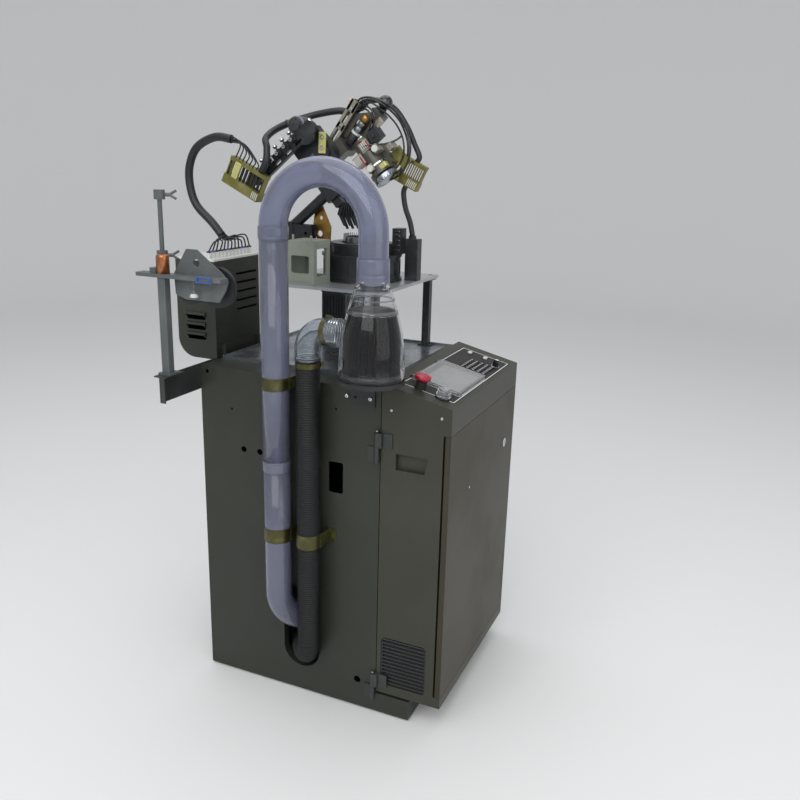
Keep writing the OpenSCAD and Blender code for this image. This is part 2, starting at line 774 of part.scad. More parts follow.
// Cabinet: a folded shell with a sloping top, a grip, a filter opening and the door's frame
module cabinet_shell() {
  top_wall = 2 * sheet;
  color("#66685c") placed() difference() {
    union() {
      difference() {
        along_x(0, base_w) polygon([[0, cab_bottom], [cab_d, cab_bottom], [cab_d, console_rear],
          [0, console_front]]);
        block([-1, -1, door_bottom], [base_w + 1, door_recess, door_top]);
        block([sheet, sheet, cab_bottom + sheet], [base_w - sheet, cab_d - sheet, door_bottom - sheet]);
        block([sheet, door_recess + sheet, cab_bottom + sheet],
          [base_w - sheet, cab_d - sheet, door_top + sheet + 1]);
        along_x(sheet, base_w - sheet) polygon([[sheet, door_top + sheet], [cab_d - sheet, door_top + sheet],
          [cab_d - sheet, console_rear - top_wall - 2], [sheet, console_front - top_wall]]);
      }
      block([0, grip_y[0] - sheet, grip_z[0] - sheet], [grip_depth, grip_y[1] + sheet, grip_z[1] + sheet]);
      for (z = [door_bottom - sheet, door_top]) rod([pin_x, pin_y, z == door_top ? door_top - 5.5 : z],
        [pin_x, pin_y, z == door_top ? z + sheet : door_bottom + 5.5], door_pin_d);
    }
    block([frame_l, door_recess - 1, frame_z0], [frame_r, door_recess + sheet + 1, frame_z1]);
    grip_pocket();
    along_x(-1, sheet + 1) translate([filter_y[0], filter_z[0]])
      soft_rect(filter_y[1] - filter_y[0], filter_z[1] - filter_z[0], 12);
    on_console() {
      block([panel_x[0] - fit, panel_s[0] - fit, -panel_t], [panel_x[1] + fit, panel_s[1] + fit, 2]);
      block([panel_x[0] + 10, panel_s[0] + 10, -30], [panel_x[1] - 10, panel_s[1] - 10, 2]);
      translate([estop_at.x, estop_at.y, -30]) cylinder(h = 31, r = estop_stem_r + 2);
      translate([selector_at.x, selector_at.y, -30]) cylinder(h = 31, r = selector_stem_r + 2);
    }
    for (p = [[151, 831], [25, 829]]) along_x(-1, sheet + 1) translate(p) circle(2.5);
  }
}

// Pocket of the grip, with one slanted end
module grip_pocket() {
  along_x(-1, grip_depth - sheet) polygon([[grip_y[0] + 8, grip_z[0]], [grip_y[1], grip_z[0]],
    [grip_y[1], grip_z[1]], [grip_y[0], grip_z[1]], [grip_y[0], grip_z[1] - 14]]);
}

// Heights of the two hinges and the length of a half
hinge_half = 37;
hinge_bottoms = [44, 698];
hinge_end_gap = 0.5;

// Half a hinge: its barrel with a leaf on the side of the machine
module hinge_half_at(z, leaf_from, leaf_to) {
  leaf_t = 3;
  rod([hinge_x, hinge_y, z], [hinge_x, hinge_y, z + hinge_half], barrel_d);
  block([-leaf_t, leaf_from, z], [0, leaf_to, z + hinge_half]);
}

// Lower halves of the cabinet's hinges, with their pins, on the base
module hinge_base_halves() {
  color("#4c4f48") placed() for (z = hinge_bottoms) {
    hinge_half_at(z, hinge_y, hinge_y + 26);
    rod([hinge_x, hinge_y, z + hinge_half - 1], [hinge_x, hinge_y, z + 2 * hinge_half + 5], hinge_pin_d);
  }
}

// Upper halves of the cabinet's hinges, on the cabinet
module hinge_cabinet_halves() {
  color("#4c4f48") placed() for (h = hinge_bottoms) {
    z = h + hinge_half + hinge_end_gap;
    z0 = max(z, cab_bottom);
    difference() {
      union() {
        rod([hinge_x, hinge_y, z], [hinge_x, hinge_y, z + hinge_half], barrel_d);
        block([hinge_x - 3, hinge_y - barrel_d, z], [-0.5, hinge_y - 3, z + hinge_half]);
        block([-3, cab_d - 30, z], [0, cab_d - 1, z + hinge_half]);
      }
      rod([hinge_x, hinge_y, z - 1], [hinge_x, hinge_y, z + hinge_half + 1], hinge_pin_d + 2 * run_fit);
    }
  }
}

// Door: a shallow folded pan that turns on two pins at its left edge
module cabinet_door() {
  clear = 1;
  z0 = door_bottom + clear;
  z1 = door_top - clear;
  color("#61604f") placed() difference() {
    block([0, 0, z0], [base_w, door_edge, z1]);
    block([sheet, sheet - 1, z0 + sheet], [base_w - sheet, door_edge + 1, z1 - sheet]);
    rod([pin_x, pin_y, z0 - 1], [pin_x, pin_y, z1 + 1], door_pin_d + 2 * run_fit);
    rod([lock_x, -1, lock_z], [lock_x, sheet, lock_z], lock_d + 2 * run_fit);
  }
}

// Lock: a slotted head, a barrel through the door and a catch behind the frame
module door_lock() {
  reach = frame_r + 15 - lock_x;
  catch_y = door_recess + sheet + 2;
  color("#b4b6b8") placed() difference() {
    union() {
      rod([lock_x, -lock_proud, lock_z], [lock_x, -0.3, lock_z], lock_d + 7);
      rod([lock_x, -1, lock_z], [lock_x, catch_y + 3, lock_z], lock_d);
      block([lock_x - 8, catch_y, lock_z - reach], [lock_x + 8, catch_y + 3, lock_z]);
    }
    block([lock_x - 1.2, -lock_proud - 1, lock_z - 6], [lock_x + 1.2, -lock_proud + 2, lock_z + 6]);
  }
}

// Air filter: a dark louvred insert behind the opening
module air_filter() {
  edge = 8;
  slats = 14;
  z0 = filter_z[0] - edge;
  pitch = (filter_z[1] - filter_z[0] + 2 * edge - 8) / slats;
  color("#1a1b1c") placed() difference() {
    block([sheet, filter_y[0] - edge, z0], [sheet + 14, filter_y[1] + 7, filter_z[1] + edge]);
    for (i = [0:slats - 1]) translate([sheet, 0, z0 + 6 + i * pitch]) rotate([0, 28, 0])
      block([-6, filter_y[0] + 4, 0], [8, filter_y[1] - 4, pitch * 0.45]);
    block([sheet + 8, filter_y[0], filter_z[0]], [sheet + 15, filter_y[1] - 1, filter_z[1]]);
  }
}

// Electronics on the rear wall: a plate with a supply, two drives and a terminal rail
module control_unit() {
  y1 = cab_d - sheet;
  plate_y = y1 - 3;
  fins = 9;
  color("#8f9498") placed() {
    block([50, plate_y, 180], [460, y1, 740]);
    difference() {
      block([70, plate_y - 60, 480], [210, plate_y, 720]);
      for (i = [0:fins - 1]) block([78 + 14.5 * i, plate_y - 61, 470], [86 + 14.5 * i, plate_y - 40, 730]);
    }
    for (x = [240, 345]) difference() {
      block([x, plate_y - 52, 470], [x + 90, plate_y, 720]);
      block([x + 10, plate_y - 53, 500], [x + 80, plate_y - 48, 560]);
    }
    block([70, plate_y - 30, 400], [435, plate_y, 430]);
    block([80, plate_y - 44, 210], [430, plate_y, 360]);
  }
}

// Control panel: the dark faceplate with its cut-outs, hinge ears and a collar
module console_panel() {
  collar_h = estop_h - estop_travel - 12;
  color("#2e2f31") placed() on_console() difference() {
    union() {
      block([panel_x[0], panel_s[0], -panel_t], [panel_x[1], panel_s[1], 0]);
      translate([estop_at.x, estop_at.y, -0.5]) cylinder(h = collar_h, d1 = 30, d2 = 26);
      for (x = [cover_x + 12, cover_x + cover_w - 12], s = [-1, 1]) hull() {
        rod([x + s * 9, cover_pin_s, cover_pin_n], [x + s * 5.4, cover_pin_s, cover_pin_n], 6);
        block([x + s * 7.2 - 1.8, cover_pin_s - 3, -1], [x + s * 7.2 + 1.8, cover_pin_s + 3, 1]);
      }
    }
    translate([estop_at.x, estop_at.y, -5]) cylinder(h = collar_h + 10, r = estop_stem_r + run_fit);
    translate([knob_at.x, knob_at.y, -5]) cylinder(h = 10, r = knob_stem_r + run_fit);
    translate([selector_at.x, selector_at.y, -5]) cylinder(h = 10, r = selector_stem_r + run_fit);
    for (p = [start_at, stop_at]) translate([p.x, p.y, -5]) cylinder(h = 10, r = button_r + run_fit);
    block([cover_x + 12, cover_s + 10, -1.4], [cover_x + cover_w - 12, cover_s + cover_l - 22, 1]);
    for (i = [0:21]) block([cover_x + 8 + 8.2 * i, panel_s[0] + 4, -0.8], [cover_x + 12.5 + 8.2 * i, panel_s[0] + 6.5, 1]);
    for (x = [cover_x + 12, cover_x + cover_w - 12]) rod([x - 20, cover_pin_s, cover_pin_n],
      [x + 20, cover_pin_s, cover_pin_n], cover_pin_d);
  }
}

estop_stem_r = 9;
knob_stem_r = 3;
selector_stem_r = 5;
cover_pin_d = 3;
button_r = 5;

// Screen: the display set into the panel
module screen() {
  color("#b7b1ac") placed() on_console()
    block([cover_x + 12, cover_s + 10, -1.4], [cover_x + cover_w - 12, cover_s + cover_l - 22, 0]);
}

// Clear lid over the screen, on two pins at its upper edge
module screen_cover() {
  wall = 2;
  lift = 0.4;
  color("#d8dadc", 0.4) placed() on_console() {
    difference() {
      block([cover_x, cover_s, lift], [cover_x + cover_w, cover_s + cover_l - 6, cover_h]);
      block([cover_x + wall, cover_s + wall, -1],
        [cover_x + cover_w - wall, cover_s + cover_l - 6 - wall, cover_h - wall]);
    }
    for (x = [cover_x + 12, cover_x + cover_w - 12]) {
      rod([x - 5, cover_pin_s, cover_pin_n], [x + 5, cover_pin_s, cover_pin_n], 6);
      block([x - 5, cover_s + cover_l - 6.1, cover_pin_n - 2.5], [x + 5, cover_pin_s, cover_pin_n + 2.5]);
      rod([x - 8.8, cover_pin_s, cover_pin_n], [x + 8.8, cover_pin_s, cover_pin_n], cover_pin_d - 2 * run_fit);
    }
  }
}

// Membrane keys: six across and five up
module keypad() {
  color("#3b3c3f") placed() on_console() {
    block([key_x, key_s, 0], [key_x + 6 * key_pitch, key_s + 5 * key_pitch, 0.8]);
    for (i = [0:5], j = [0:4]) translate([key_x + 1.5 + i * key_pitch, key_s + 1.5 + j * key_pitch, 0])
      linear_extrude(2) soft_rect(key_pitch - 3, key_pitch - 3.5, 2);
  }
}

// Oval push button on a round stem
module oval_button(at) {
  on_console() translate([at.x, at.y, 0]) {
    up(2.4) linear_extrude(2.6) link([-4, 0], [4, 0], 11);
    up(-6) cylinder(h = 9, r = button_r);
  }
}

module start_button() {
  color("#c9cbcd") placed() oval_button(start_at);
}

module stop_button() {
  color("#c9cbcd") placed() oval_button(stop_at);
}

// Red stop button: a mushroom head on a stem
module estop_button() {
  color("#c3122f") placed() on_console() translate([estop_at.x, estop_at.y, 0]) {
    up(estop_h) rotate_extrude() polygon([[0, -12], [estop_d / 2 - 2, -12],
      [estop_d / 2, -10], [estop_d / 2, -5], [estop_d / 2 - 3, -2], [estop_d / 4, 0], [0, 0]]);
    up(-8) cylinder(h = estop_h, r = estop_stem_r);
  }
}

// Speed knob: a fluted black knob with a pale cap and a pointer groove
module speed_knob() {
  color("#141516") placed() on_console() translate([knob_at.x, knob_at.y, 0]) difference() {
    union() {
      up(0.4) cylinder(h = 17, d = knob_d);
      up(17) cylinder(h = 1.5, d = knob_d - 5);
      up(-7) cylinder(h = 9, r = knob_stem_r);
    }
    for (a = [0:20:340]) rotate([0, 0, a]) translate([knob_d / 2 + 0.6, 0, 2]) cylinder(h = 16, r = 1.2);
    block([1, -0.4, 18], [knob_d / 2 - 3, 0.4, 19]);
  }
}

// Selector: a round clear cap on a dark ring, with a bar to turn it
module selector_knob() {
  color("#dcdcda") placed() on_console() translate([selector_at.x, selector_at.y, 0]) difference() {
    union() {
      up(0.4) cylinder(h = 7, d = 30);
      up(7) cylinder(h = 13, d = 36);
      up(19) cylinder(h = 4, d1 = 30, d2 = 26);
      up(-7) cylinder(h = 9, r = selector_stem_r);
    }
    for (a = [0:45:315]) rotate([0, 0, a]) translate([19.5, 0, 6]) cylinder(h = 14.5, r = 3);
  }
}

// Valve box: a folded case on a bracket, with hooded louvres and one round corner
module valve_box() {
  corner = 52;
  hood = 14;
  hood_z = valve_z0 + 64;
  color("#70756c") placed() {
    difference() {
      union() {
        along_x(valve_x0, valve_x1) difference() {
          translate([valve_y0, valve_z0]) square([valve_d, valve_h]);
          translate([valve_y1 - corner, valve_z0]) difference() {
            square(corner + 1);
            translate([0, corner]) circle(corner);
          }
        }
        for (i = [0:2]) rod([valve_x0, valve_y0 + 31, hood_z + 27 * i], [valve_x0, valve_y0 + 92, hood_z + 27 * i], hood);
      }
      along_x(valve_x0 + sheet, valve_x1 - sheet) difference() {
        translate([valve_y0 + sheet, valve_z0 + sheet]) square([valve_d - 2 * sheet, valve_h]);
        translate([valve_y1 - corner, valve_z0]) difference() {
          square(corner + 1);
          translate([0, corner]) circle(corner - sheet);
        }
      }
      for (i = [0:2]) {
        block([valve_x0 - hood, valve_y0 + 33, hood_z + 27 * i - hood],
          [valve_x0 + sheet + 1, valve_y0 + 90, hood_z + 27 * i - 1]);
        rod([valve_x0, valve_y0 + 33, hood_z + 27 * i], [valve_x0, valve_y0 + 90, hood_z + 27 * i], hood - 3);
        block([valve_x0 + sheet, valve_y0 + 26, hood_z - 8 + 27 * i],
          [valve_x0 + hood, valve_y0 + 96, hood_z + 8 + 27 * i]);
      }
      for (i = [0:4]) block([valve_x1 - 110, valve_y0 - 1, hood_z + 55 + 24 * i],
        [valve_x1 - 14, valve_y0 + sheet + 1, hood_z + 61 + 24 * i]);
    }
    difference() {
      block([valve_x0 + 20, base_y1, base_h - 54], [valve_x1 - 20, valve_y0, base_h + 30]);
      block([valve_x0 + 26, base_y1 - 1, base_h - 48], [valve_x1 - 26, valve_y0 - 4, base_h + 31]);
    }
  }
}

// Top of the valve box with its row of push-in fittings
module valve_fittings() {
  top = valve_z1 + 5;
  color("#d6d8d6") placed() {
    block([valve_x0, valve_y0, valve_z1], [valve_x1, valve_y1, top]);
    for (i = [0:fittings - 1]) translate([fitting_x(i), fitting_y, top]) {
      cylinder(h = 7, d = 12, $fn = 6);
      up(7) cylinder(h = 9, d = 9);
      up(16) cylinder(h = 3, d = 11);
    }
  }
}

fitting_top = valve_z1 + 24;
function fitting_x(i) = valve_x0 + 11 + i * fitting_pitch;

// Thin air tubes from the fittings, gathered in rows at the conduit's start
bundle_at = [205, 757, 1183];
bundle_heading = [0, 0.685, 0.728];
thin_d = 4;
thin_pitch = 5;
function bundle_spot(i) = bundle_at + [(floor(i / 3) - 1.5) * thin_pitch, 0, 0]
  + (i % 3 - 1) * thin_pitch * [0, -0.728, 0.685];

module valve_tubes() {
  color("#121314") placed() for (i = [0:fittings - 1]) {
    a = [fitting_x(i), fitting_y, fitting_top];
    b = bundle_spot(i);
    rise = 26 + 7 * (i % 3);
    cord([a, [a.x + 0.25 * (b.x - a.x), fitting_y + 1, fitting_top + rise * 0.8],
      b - 12 * bundle_heading - [0.18 * (b.x - a.x), 0, 0], b], thin_d, 8, [0, 0, 1], bundle_heading);
  }
}

// Places of the two air manifolds
rear_manifold = [628, 1276];
rear_manifold_x = [176, 206];
rear_tube_h = 38;
front_manifold = [262, 1312];
front_manifold_x = [366, 390];
manifold_lean = 26;
// Point of a manifold's own frame, as y and z of the machine
function on_manifold(at, y, z) = [at[0] + y * cos(manifold_lean) - z * sin(manifold_lean),
  at[1] + y * sin(manifold_lean) + z * cos(manifold_lean)];
function rear_way(i) = 2 + 11.2 * (i + 0.5);

// Black conduits, each a route of points held by clips and glands
conduit_rear_d = 22;
conduit_top_d = 18;
conduit_front_d = 14;
conduit_rear = [bundle_at, [205, 787, 1215], [205, 836, 1259], [205, 855, 1310], [205, 853, 1363],
  [205, 826, 1410], [205, 768, 1436], [205, 716, 1432]];
rear_foot = on_manifold(rear_manifold, 24, rear_tube_h + 34);
conduit_top = [[191, rear_foot[0], rear_foot[1]], [192, 604, 1380], [200, 606, 1412], [224, 622, 1438],
  [277, 610, 1467], [314, 545, 1495], [325, 470, 1509], [330, 430, 1506], [330, 406, 1517]];
front_foot = on_manifold(front_manifold, 34, 68);
front_under = on_manifold(front_manifold, 34, 0);
conduit_loop = [[330, 392, 1529], [340, 378, 1536], [362, 354, 1534], [372, 322, 1513], [376, 292, 1472],
  [378, 272, 1432], [378, 257, 1401], [378, front_foot[0], front_foot[1]]];
conduit_down = [[378, front_under[0], front_under[1]], [378, 299, 1308], [379, 293, 1270], [381, 279, 1232],
  [381, 271, 1198]];
// Coupling between the upper conduit and the loop, in the head's frame
coupling_x = 330;
coupling_y = -168;
coupling_z = 126;

module conduits() {
  down = [0, sin(manifold_lean), -cos(manifold_lean)];
  tube_d = 3.6;
  color("#131415") placed() {
    cord(conduit_rear, conduit_rear_d, 10, bundle_heading, [0, -1, -0.2]);
    cord(conduit_top, conduit_top_d, 10, -down, [0, -0.766, 0.643]);
    on_head() rod([coupling_x, coupling_y, coupling_z], [coupling_x, coupling_y - 22, coupling_z], 23);
    cord(conduit_loop, conduit_front_d, 8, [0, -0.766, 0.643], down);
    cord(conduit_down, conduit_front_d, 8, down, [0, 0, -1]);
    for (i = [3:9]) {
      k = i - 3;
      a = on_manifold(rear_manifold, rear_way(i), rear_tube_h + 34);
      b = [205 + 4.6 * (k % 3 - 1), 717, 1432.2] + [0, 0.9, -4.6] * (1 - floor(k / 3) + 0.3 * (k % 3));
      cord([[191, a[0], a[1]], [191, a[0], a[1]] - (14 + 3 * k) * down,
        b + [0, -16 - 5 * (6 - k), -3 - (6 - k)], b], tube_d, 6, -down, [0, 1, 0.2]);
    }
  }
}

// Bracket arm: a folded plate behind the base with a shelf for the feeder's post
module support_arm() {
  fold = 12;
  color("#474b48") placed() {
    block([-arm_l, base_y1, arm_z0], [70, base_y1 + sheet, arm_z1]);
    block([-arm_l, base_y1 - fold, arm_z0], [-arm_l + sheet, base_y1 + sheet, arm_z1]);
    block([-arm_l, base_y1 - 18, arm_z1 - sheet], [-arm_l + 70, base_y1 + 18, arm_z1]);
  }
}

// Feeder's posts: the square one with its copper cap, and a thin rod with two wing clamps
module feeder_posts() {
  w = feeder_post_w;
  rod_x = post_x + 30;
  color("#6d706f") placed() {
    translate([post_x, post_y, arm_z1]) difference() {
      translate([-w / 2, -w / 2, 0]) linear_extrude(feeder_z - arm_z1) soft_rect(w, w, 3);
      up(-1) cylinder(h = 60, d = w - 6);
    }
    block([post_x - 17, post_y - 17, arm_z1], [post_x + 17, post_y + 17, arm_z1 + 5]);
    translate([post_x, post_y, feeder_z + 9]) cylinder(h = 40, d = 29);
    translate([post_x, post_y, feeder_z + 49]) cylinder(h = 3, d1 = 29, d2 = 24);
    block([post_x - 8, post_y + 15, feeder_z + 9], [rod_x + 9, post_y + 33, feeder_z + 21]);
    translate([rod_x, post_y + 24, feeder_z + 9]) cylinder(h = 176, d = 11);
    for (h = [36, 176]) translate([rod_x, post_y + 24, feeder_z + h]) rotate([0, 0, 35]) wing_clamp();
  }
}

// Split clamp with a wing nut
module wing_clamp() {
  cylinder(h = 22, d = 26);
  rod([0, 0, 11], [0, -26, 11], 9);
  for (s = [-1, 1]) rod([0, -22, 11], [s * 7, -38, 11 + s * 9], 6);
}

// Feeder's bar and upright plate, with the drums' axles, a clip and a thread funnel
module feeder_plate() {
  t = 4;
  color("#76797a") placed() {
    difference() {
      block([post_x - 15, bar_y0, feeder_z], [post_x + 15, bar_y1, feeder_z + 9]);
      for (y = [bar_y0 + 14, bar_y1 - 14]) translate([post_x, y, feeder_z - 1]) cylinder(h = 11, d = 6);
    }
    along_x(post_x + 15, post_x + 15 + t) difference() {
      polygon([[bar_y0, feeder_z], [bar_y0 + 16, feeder_z + 18], [604, 1181], [633, 1181], [671, feeder_z + 9],
        [668, feeder_z - 40], [640, feeder_z - 50], [545, feeder_z - 50], [bar_y0 + 8, feeder_z - 22]]);
      translate([606, 1150]) circle(9);
    }
    for (q = [[drum_rear_at, drum_rear_x + drum_t], [drum_front_at, drum_front_x + drum_t]]) {
      rod([post_x + 14, q[0][0], q[0][1]], [q[1] + 5, q[0][0], q[0][1]], 8);
      rod([q[1] + 0.5, q[0][0], q[0][1]], [q[1] + 5, q[0][0], q[0][1]], 13);
    }
    block([post_x - 18, bar_y0 + 22, feeder_z - 2], [post_x - 15, bar_y0 + 62, feeder_z + 11]);
    translate([post_x - 4, 601, feeder_z - 26]) {
      cylinder(h = 26, d = 4);
      up(-4) cylinder(h = 6, d1 = 16, d2 = 8);
    }
  }
}

// Yarn drum: a grooved disc that turns on its axle
module yarn_drum(x0, at, r) {
  bore = 4 + run_fit;
  translate([x0, at[0], at[1]]) rotate([0, 90, 0]) rotate_extrude() polygon([[bore, 0], [r, 0], [r, 3],
    [r - 5, 5.5], [r - 5, drum_t - 5.5], [r, drum_t - 3], [r, drum_t], [bore, drum_t]]);
}

module feeder_drum_rear() {
  color("#4a4c4e") placed() yarn_drum(drum_rear_x, drum_rear_at, 38);
}

module feeder_drum_front() {
  color("#3a3c3e") placed() yarn_drum(drum_front_x, drum_front_at, 48);
}

// Folded column on the table with a window in each face and pegs on top
module bracket_column() {
  a = [140, 436, table_z];
  b = [225, 512, 1190];
  t = 4;
  color("#a3a894") placed() difference() {
    union() {
      block(a, b);
      for (p = [[a.x + 8, a.y + 12], [a.x + 8, b.y - 12]]) translate([p.x, p.y, b.z - 1]) cylinder(h = 15, d = 6);
      block([a.x - 8, a.y, a.z], [b.x + 2, b.y, a.z + 4]);
    }
    block([a.x + t, a.y + t, a.z + 8], [b.x - t, b.y - t, b.z - t]);
    along_x(a.x - 1, a.x + t + 1) translate([450, 1109]) soft_rect(52, 44, 6);
    block([b.x - t - 1, a.y + 14, a.z + 20], [b.x + 1, b.y - 14, b.z - 20]);
    block([a.x + 16, a.y - 1, a.z + 20], [b.x - 16, a.y + t + 1, b.z - 20]);
  }
}

// Cam box round the cylinder, with its bush in the table, a selector block and a coil box
module cam_box() {
  tier_h = 70;
  upper_r = 84;
  inner_r = cyl_r + 5;
  color("#2a2c2e") placed() {
    translate([cyl_x, cyl_y, table_z]) difference() {
      union() {
        cylinder(h = tier_h, r = cam_r - 4);
        for (z = [0, tier_h - 6]) up(z) cylinder(h = 6, r = cam_r);
        up(tier_h) cylinder(h = cam_h - tier_h, r = upper_r);
        up(cam_h - 8) cylinder(h = 4, r = upper_r + 2);
        up(-18) cylinder(h = 19, r = bush_r);
      }
      up(3) cylinder(h = cam_h, r = inner_r);
      up(-19) cylinder(h = 40, r = cyl_r + cyl_fit);
      for (a = [0:30:330]) rotate([0, 0, a]) translate([upper_r + 10, 0, tier_h - 7]) cylinder(h = 9, d = 6);
      for (a = [15:30:345]) rotate([0, 0, a]) block([cam_r - 8, -16, 16], [cam_r + 1, 16, tier_h - 16]);
      block([lever_x0 - 5 - cyl_x, 68, tier_h], [lever_x1 + 0.5 - cyl_x, 90, cam_h + 1]);
    }
    up(table_z + tier_h) {
      difference() {
        block([347, 290, 0], [383, 315, 67]);
        for (z = [8:12:56]) block([346, 294, z], [384, 311, z + 5]);
      }
      difference() {
        block([lever_x1 + 0.5, lever_pin_y - 9, 0], [lever_x1 + 8.5, lever_pin_y + 9, 22]);
        up(-table_z - tier_h)
          rod([lever_x1, lever_pin_y, lever_pin_z], [lever_x1 + 9, lever_pin_y, lever_pin_z], lever_pin_d + 0.02);
      }
    }
    block([368, 250, table_z], [396, 286, 1190]);
    translate([381, 271, 1190]) cylinder(h = 8, d = 20);
  }
}

// Brass lever and its pin
lever_x0 = 287;
lever_x1 = 293;
lever_pin_y = 481;
lever_pin_z = 1163;
lever_pin_d = 8;

module brass_lever() {
  color("#a8873c") placed() {
    along_x(lever_x0, lever_x1) difference() {
      union() {
        polygon([[472, 1160], [468, 1215], [490, 1262], [500, 1290], [511, 1290], [514, 1262], [521, 1216],
          [508, 1180], [488, 1158]]);
        translate([lever_pin_y, lever_pin_z]) circle(10);
        translate([505.5, 1290]) circle(5.5);
      }
      translate([500, 1197]) circle(8);
      translate([497, 1238]) circle(5);
    }
    rod([lever_x0 - 3, lever_pin_y, lever_pin_z], [lever_x0, lever_pin_y, lever_pin_z], 13);
    rod([lever_x1 - 1, lever_pin_y, lever_pin_z], [lever_x1 + 8, lever_pin_y, lever_pin_z],
      lever_pin_d + 0.02 - 2 * run_fit);
  }
}

// Needle cylinder: slotted above, plain in its bush, with a toothed rim below
cyl_top = 1192;
slot_z0 = table_z + 8;
slot_depth = 3.5;

module needle_cylinder() {
  slot_w = 1.6;
  color("#8e9296") placed() translate([cyl_x, cyl_y, 0]) difference() {
    union() {
      up(pulley_z0 + pulley_h) cylinder(h = cyl_top - pulley_z0 - pulley_h, r = cyl_r);
      up(pulley_z0) linear_extrude(pulley_h) toothed_wheel(big_teeth, big_r);
    }
    up(pulley_z0 - 1) cylinder(h = cyl_top, r = cyl_bore);
    for (k = [0:needles - 1]) rotate([0, 0, 360 * k / needles])
      block([cyl_r - slot_depth, -slot_w / 2, slot_z0], [cyl_r + 1, slot_w / 2, cyl_top + 1]);
  }
}

// Outline of a toothed belt wheel
module toothed_wheel(teeth, r) {
  depth = 2;
  step = 360 / teeth;
  polygon([for (i = [0:teeth - 1]) each [for (q = [[0, r - depth], [0.18, r], [0.5, r], [0.68, r - depth]])
    q[1] * [cos((i + q[0]) * step), sin((i + q[0]) * step)]]]);
}

// Hooked needles, one in each slot
module needle_set() {
  blade = 1.2;
  foot_z = slot_z0 + 2;
  tip_z = cyl_top + 7;
  inner = cyl_r - slot_depth;
  color("#c6cacd") placed() translate([cyl_x, cyl_y, 0]) for (k = [0:needles - 1])
    rotate([0, 0, 360 * k / needles]) translate([0, blade / 2, 0]) rotate([90, 0, 0]) linear_extrude(blade)
      polygon([[inner, foot_z], [inner + 3, foot_z], [inner + 3, foot_z + 42], [inner + 7.5, foot_z + 42],
        [inner + 7.5, foot_z + 48], [inner + 3, foot_z + 48], [inner + 3, tip_z - 8], [inner + 1.6, tip_z - 8],
        [inner + 1.6, tip_z - 2], [inner + 2.4, tip_z - 2], [inner + 2.4, tip_z - 4], [inner + 3.4, tip_z - 4],
        [inner + 3.4, tip_z - 1], [inner + 2.4, tip_z], [inner + 0.8, tip_z], [inner, tip_z - 2]]);
}

// Servo motor on the tray, with its flange and shaft boss
module servo_motor() {
  w = 76;
  boss_top = pulley_z0 - 4;
  color("#3b3e42") placed() difference() {
    union() {
      block([motor_x - w / 2, motor_y - w / 2, tray_z + 8], [motor_x + w / 2, motor_y + w / 2, boss_top - 14]);
      block([motor_x - w / 2 - 6, motor_y - w / 2 - 6, tray_z], [motor_x + w / 2 + 6, motor_y + w / 2 + 6, tray_z + 9]);
      block([motor_x - w / 2 - 2, motor_y - w / 2 - 2, boss_top - 15], [motor_x + w / 2 + 2, motor_y + w / 2 + 2, boss_top - 4]);
      translate([motor_x, motor_y, boss_top - 5]) cylinder(h = 5, d = 40);
    }
    translate([motor_x, motor_y, boss_top - 40]) cylinder(h = 60, r = shaft_r + run_fit);
    for (a = [0:90:270]) translate([motor_x, motor_y, 0]) rotate([0, 0, a])
      for (i = [-3:3]) block([w / 2 - 3, i * 9 - 2, tray_z + 14], [w / 2 + 1, i * 9 + 2, boss_top - 22]);
  }
}

// Motor's toothed wheel and shaft
module motor_pulley() {
  color("#9a9fa3") placed() translate([motor_x, motor_y, 0]) {
    up(pulley_z0) linear_extrude(pulley_h) toothed_wheel(small_teeth, small_r);
    for (z = [pulley_z0 - 2, pulley_z0 + pulley_h]) up(z) cylinder(h = 2, r = small_r + 3.5);
    up(pulley_z0 - 42) cylinder(h = pulley_h + 48, r = shaft_r);
  }
}

// Belt round the two wheels
module drive_belt() {
  play = 0.4;
  t = 2;
  side = 2;
  color("#1c1d1f") placed() up(pulley_z0 + side) linear_extrude(pulley_h - 2 * side) difference() {
    belt_loop(big_r + play + t, small_r + play + t);
    belt_loop(big_r + play, small_r + play);
  }
}

// Outline of a loop round both wheels: two arcs joined by tangents
module belt_loop(r1, r2) {
  v = [motor_x - cyl_x, motor_y - cyl_y];
  d = norm(v);
  turn = atan2(v.y, v.x);
  lean = acos((r1 - r2) / d);
  steps = 18;
  polygon(concat(
    [for (i = [0:steps]) let(a = turn + lean + (360 - 2 * lean) * i / steps) [cyl_x, cyl_y] + r1 * [cos(a), sin(a)]],
    [for (i = [0:steps]) let(a = turn - lean + 2 * lean * i / steps) [motor_x, motor_y] + r2 * [cos(a), sin(a)]]));
}

// Head frame: x across, y down the tilt towards the rear, z out of the tilted head
head_y = 455;
head_z = 1312;
arm_x = 270;
arm_len = 164;
boss = 24;
post_foot = [250, 290];

module on_head() {
  translate([0, head_y, head_z]) rotate([-head_tilt, 0, 0]) children();
}

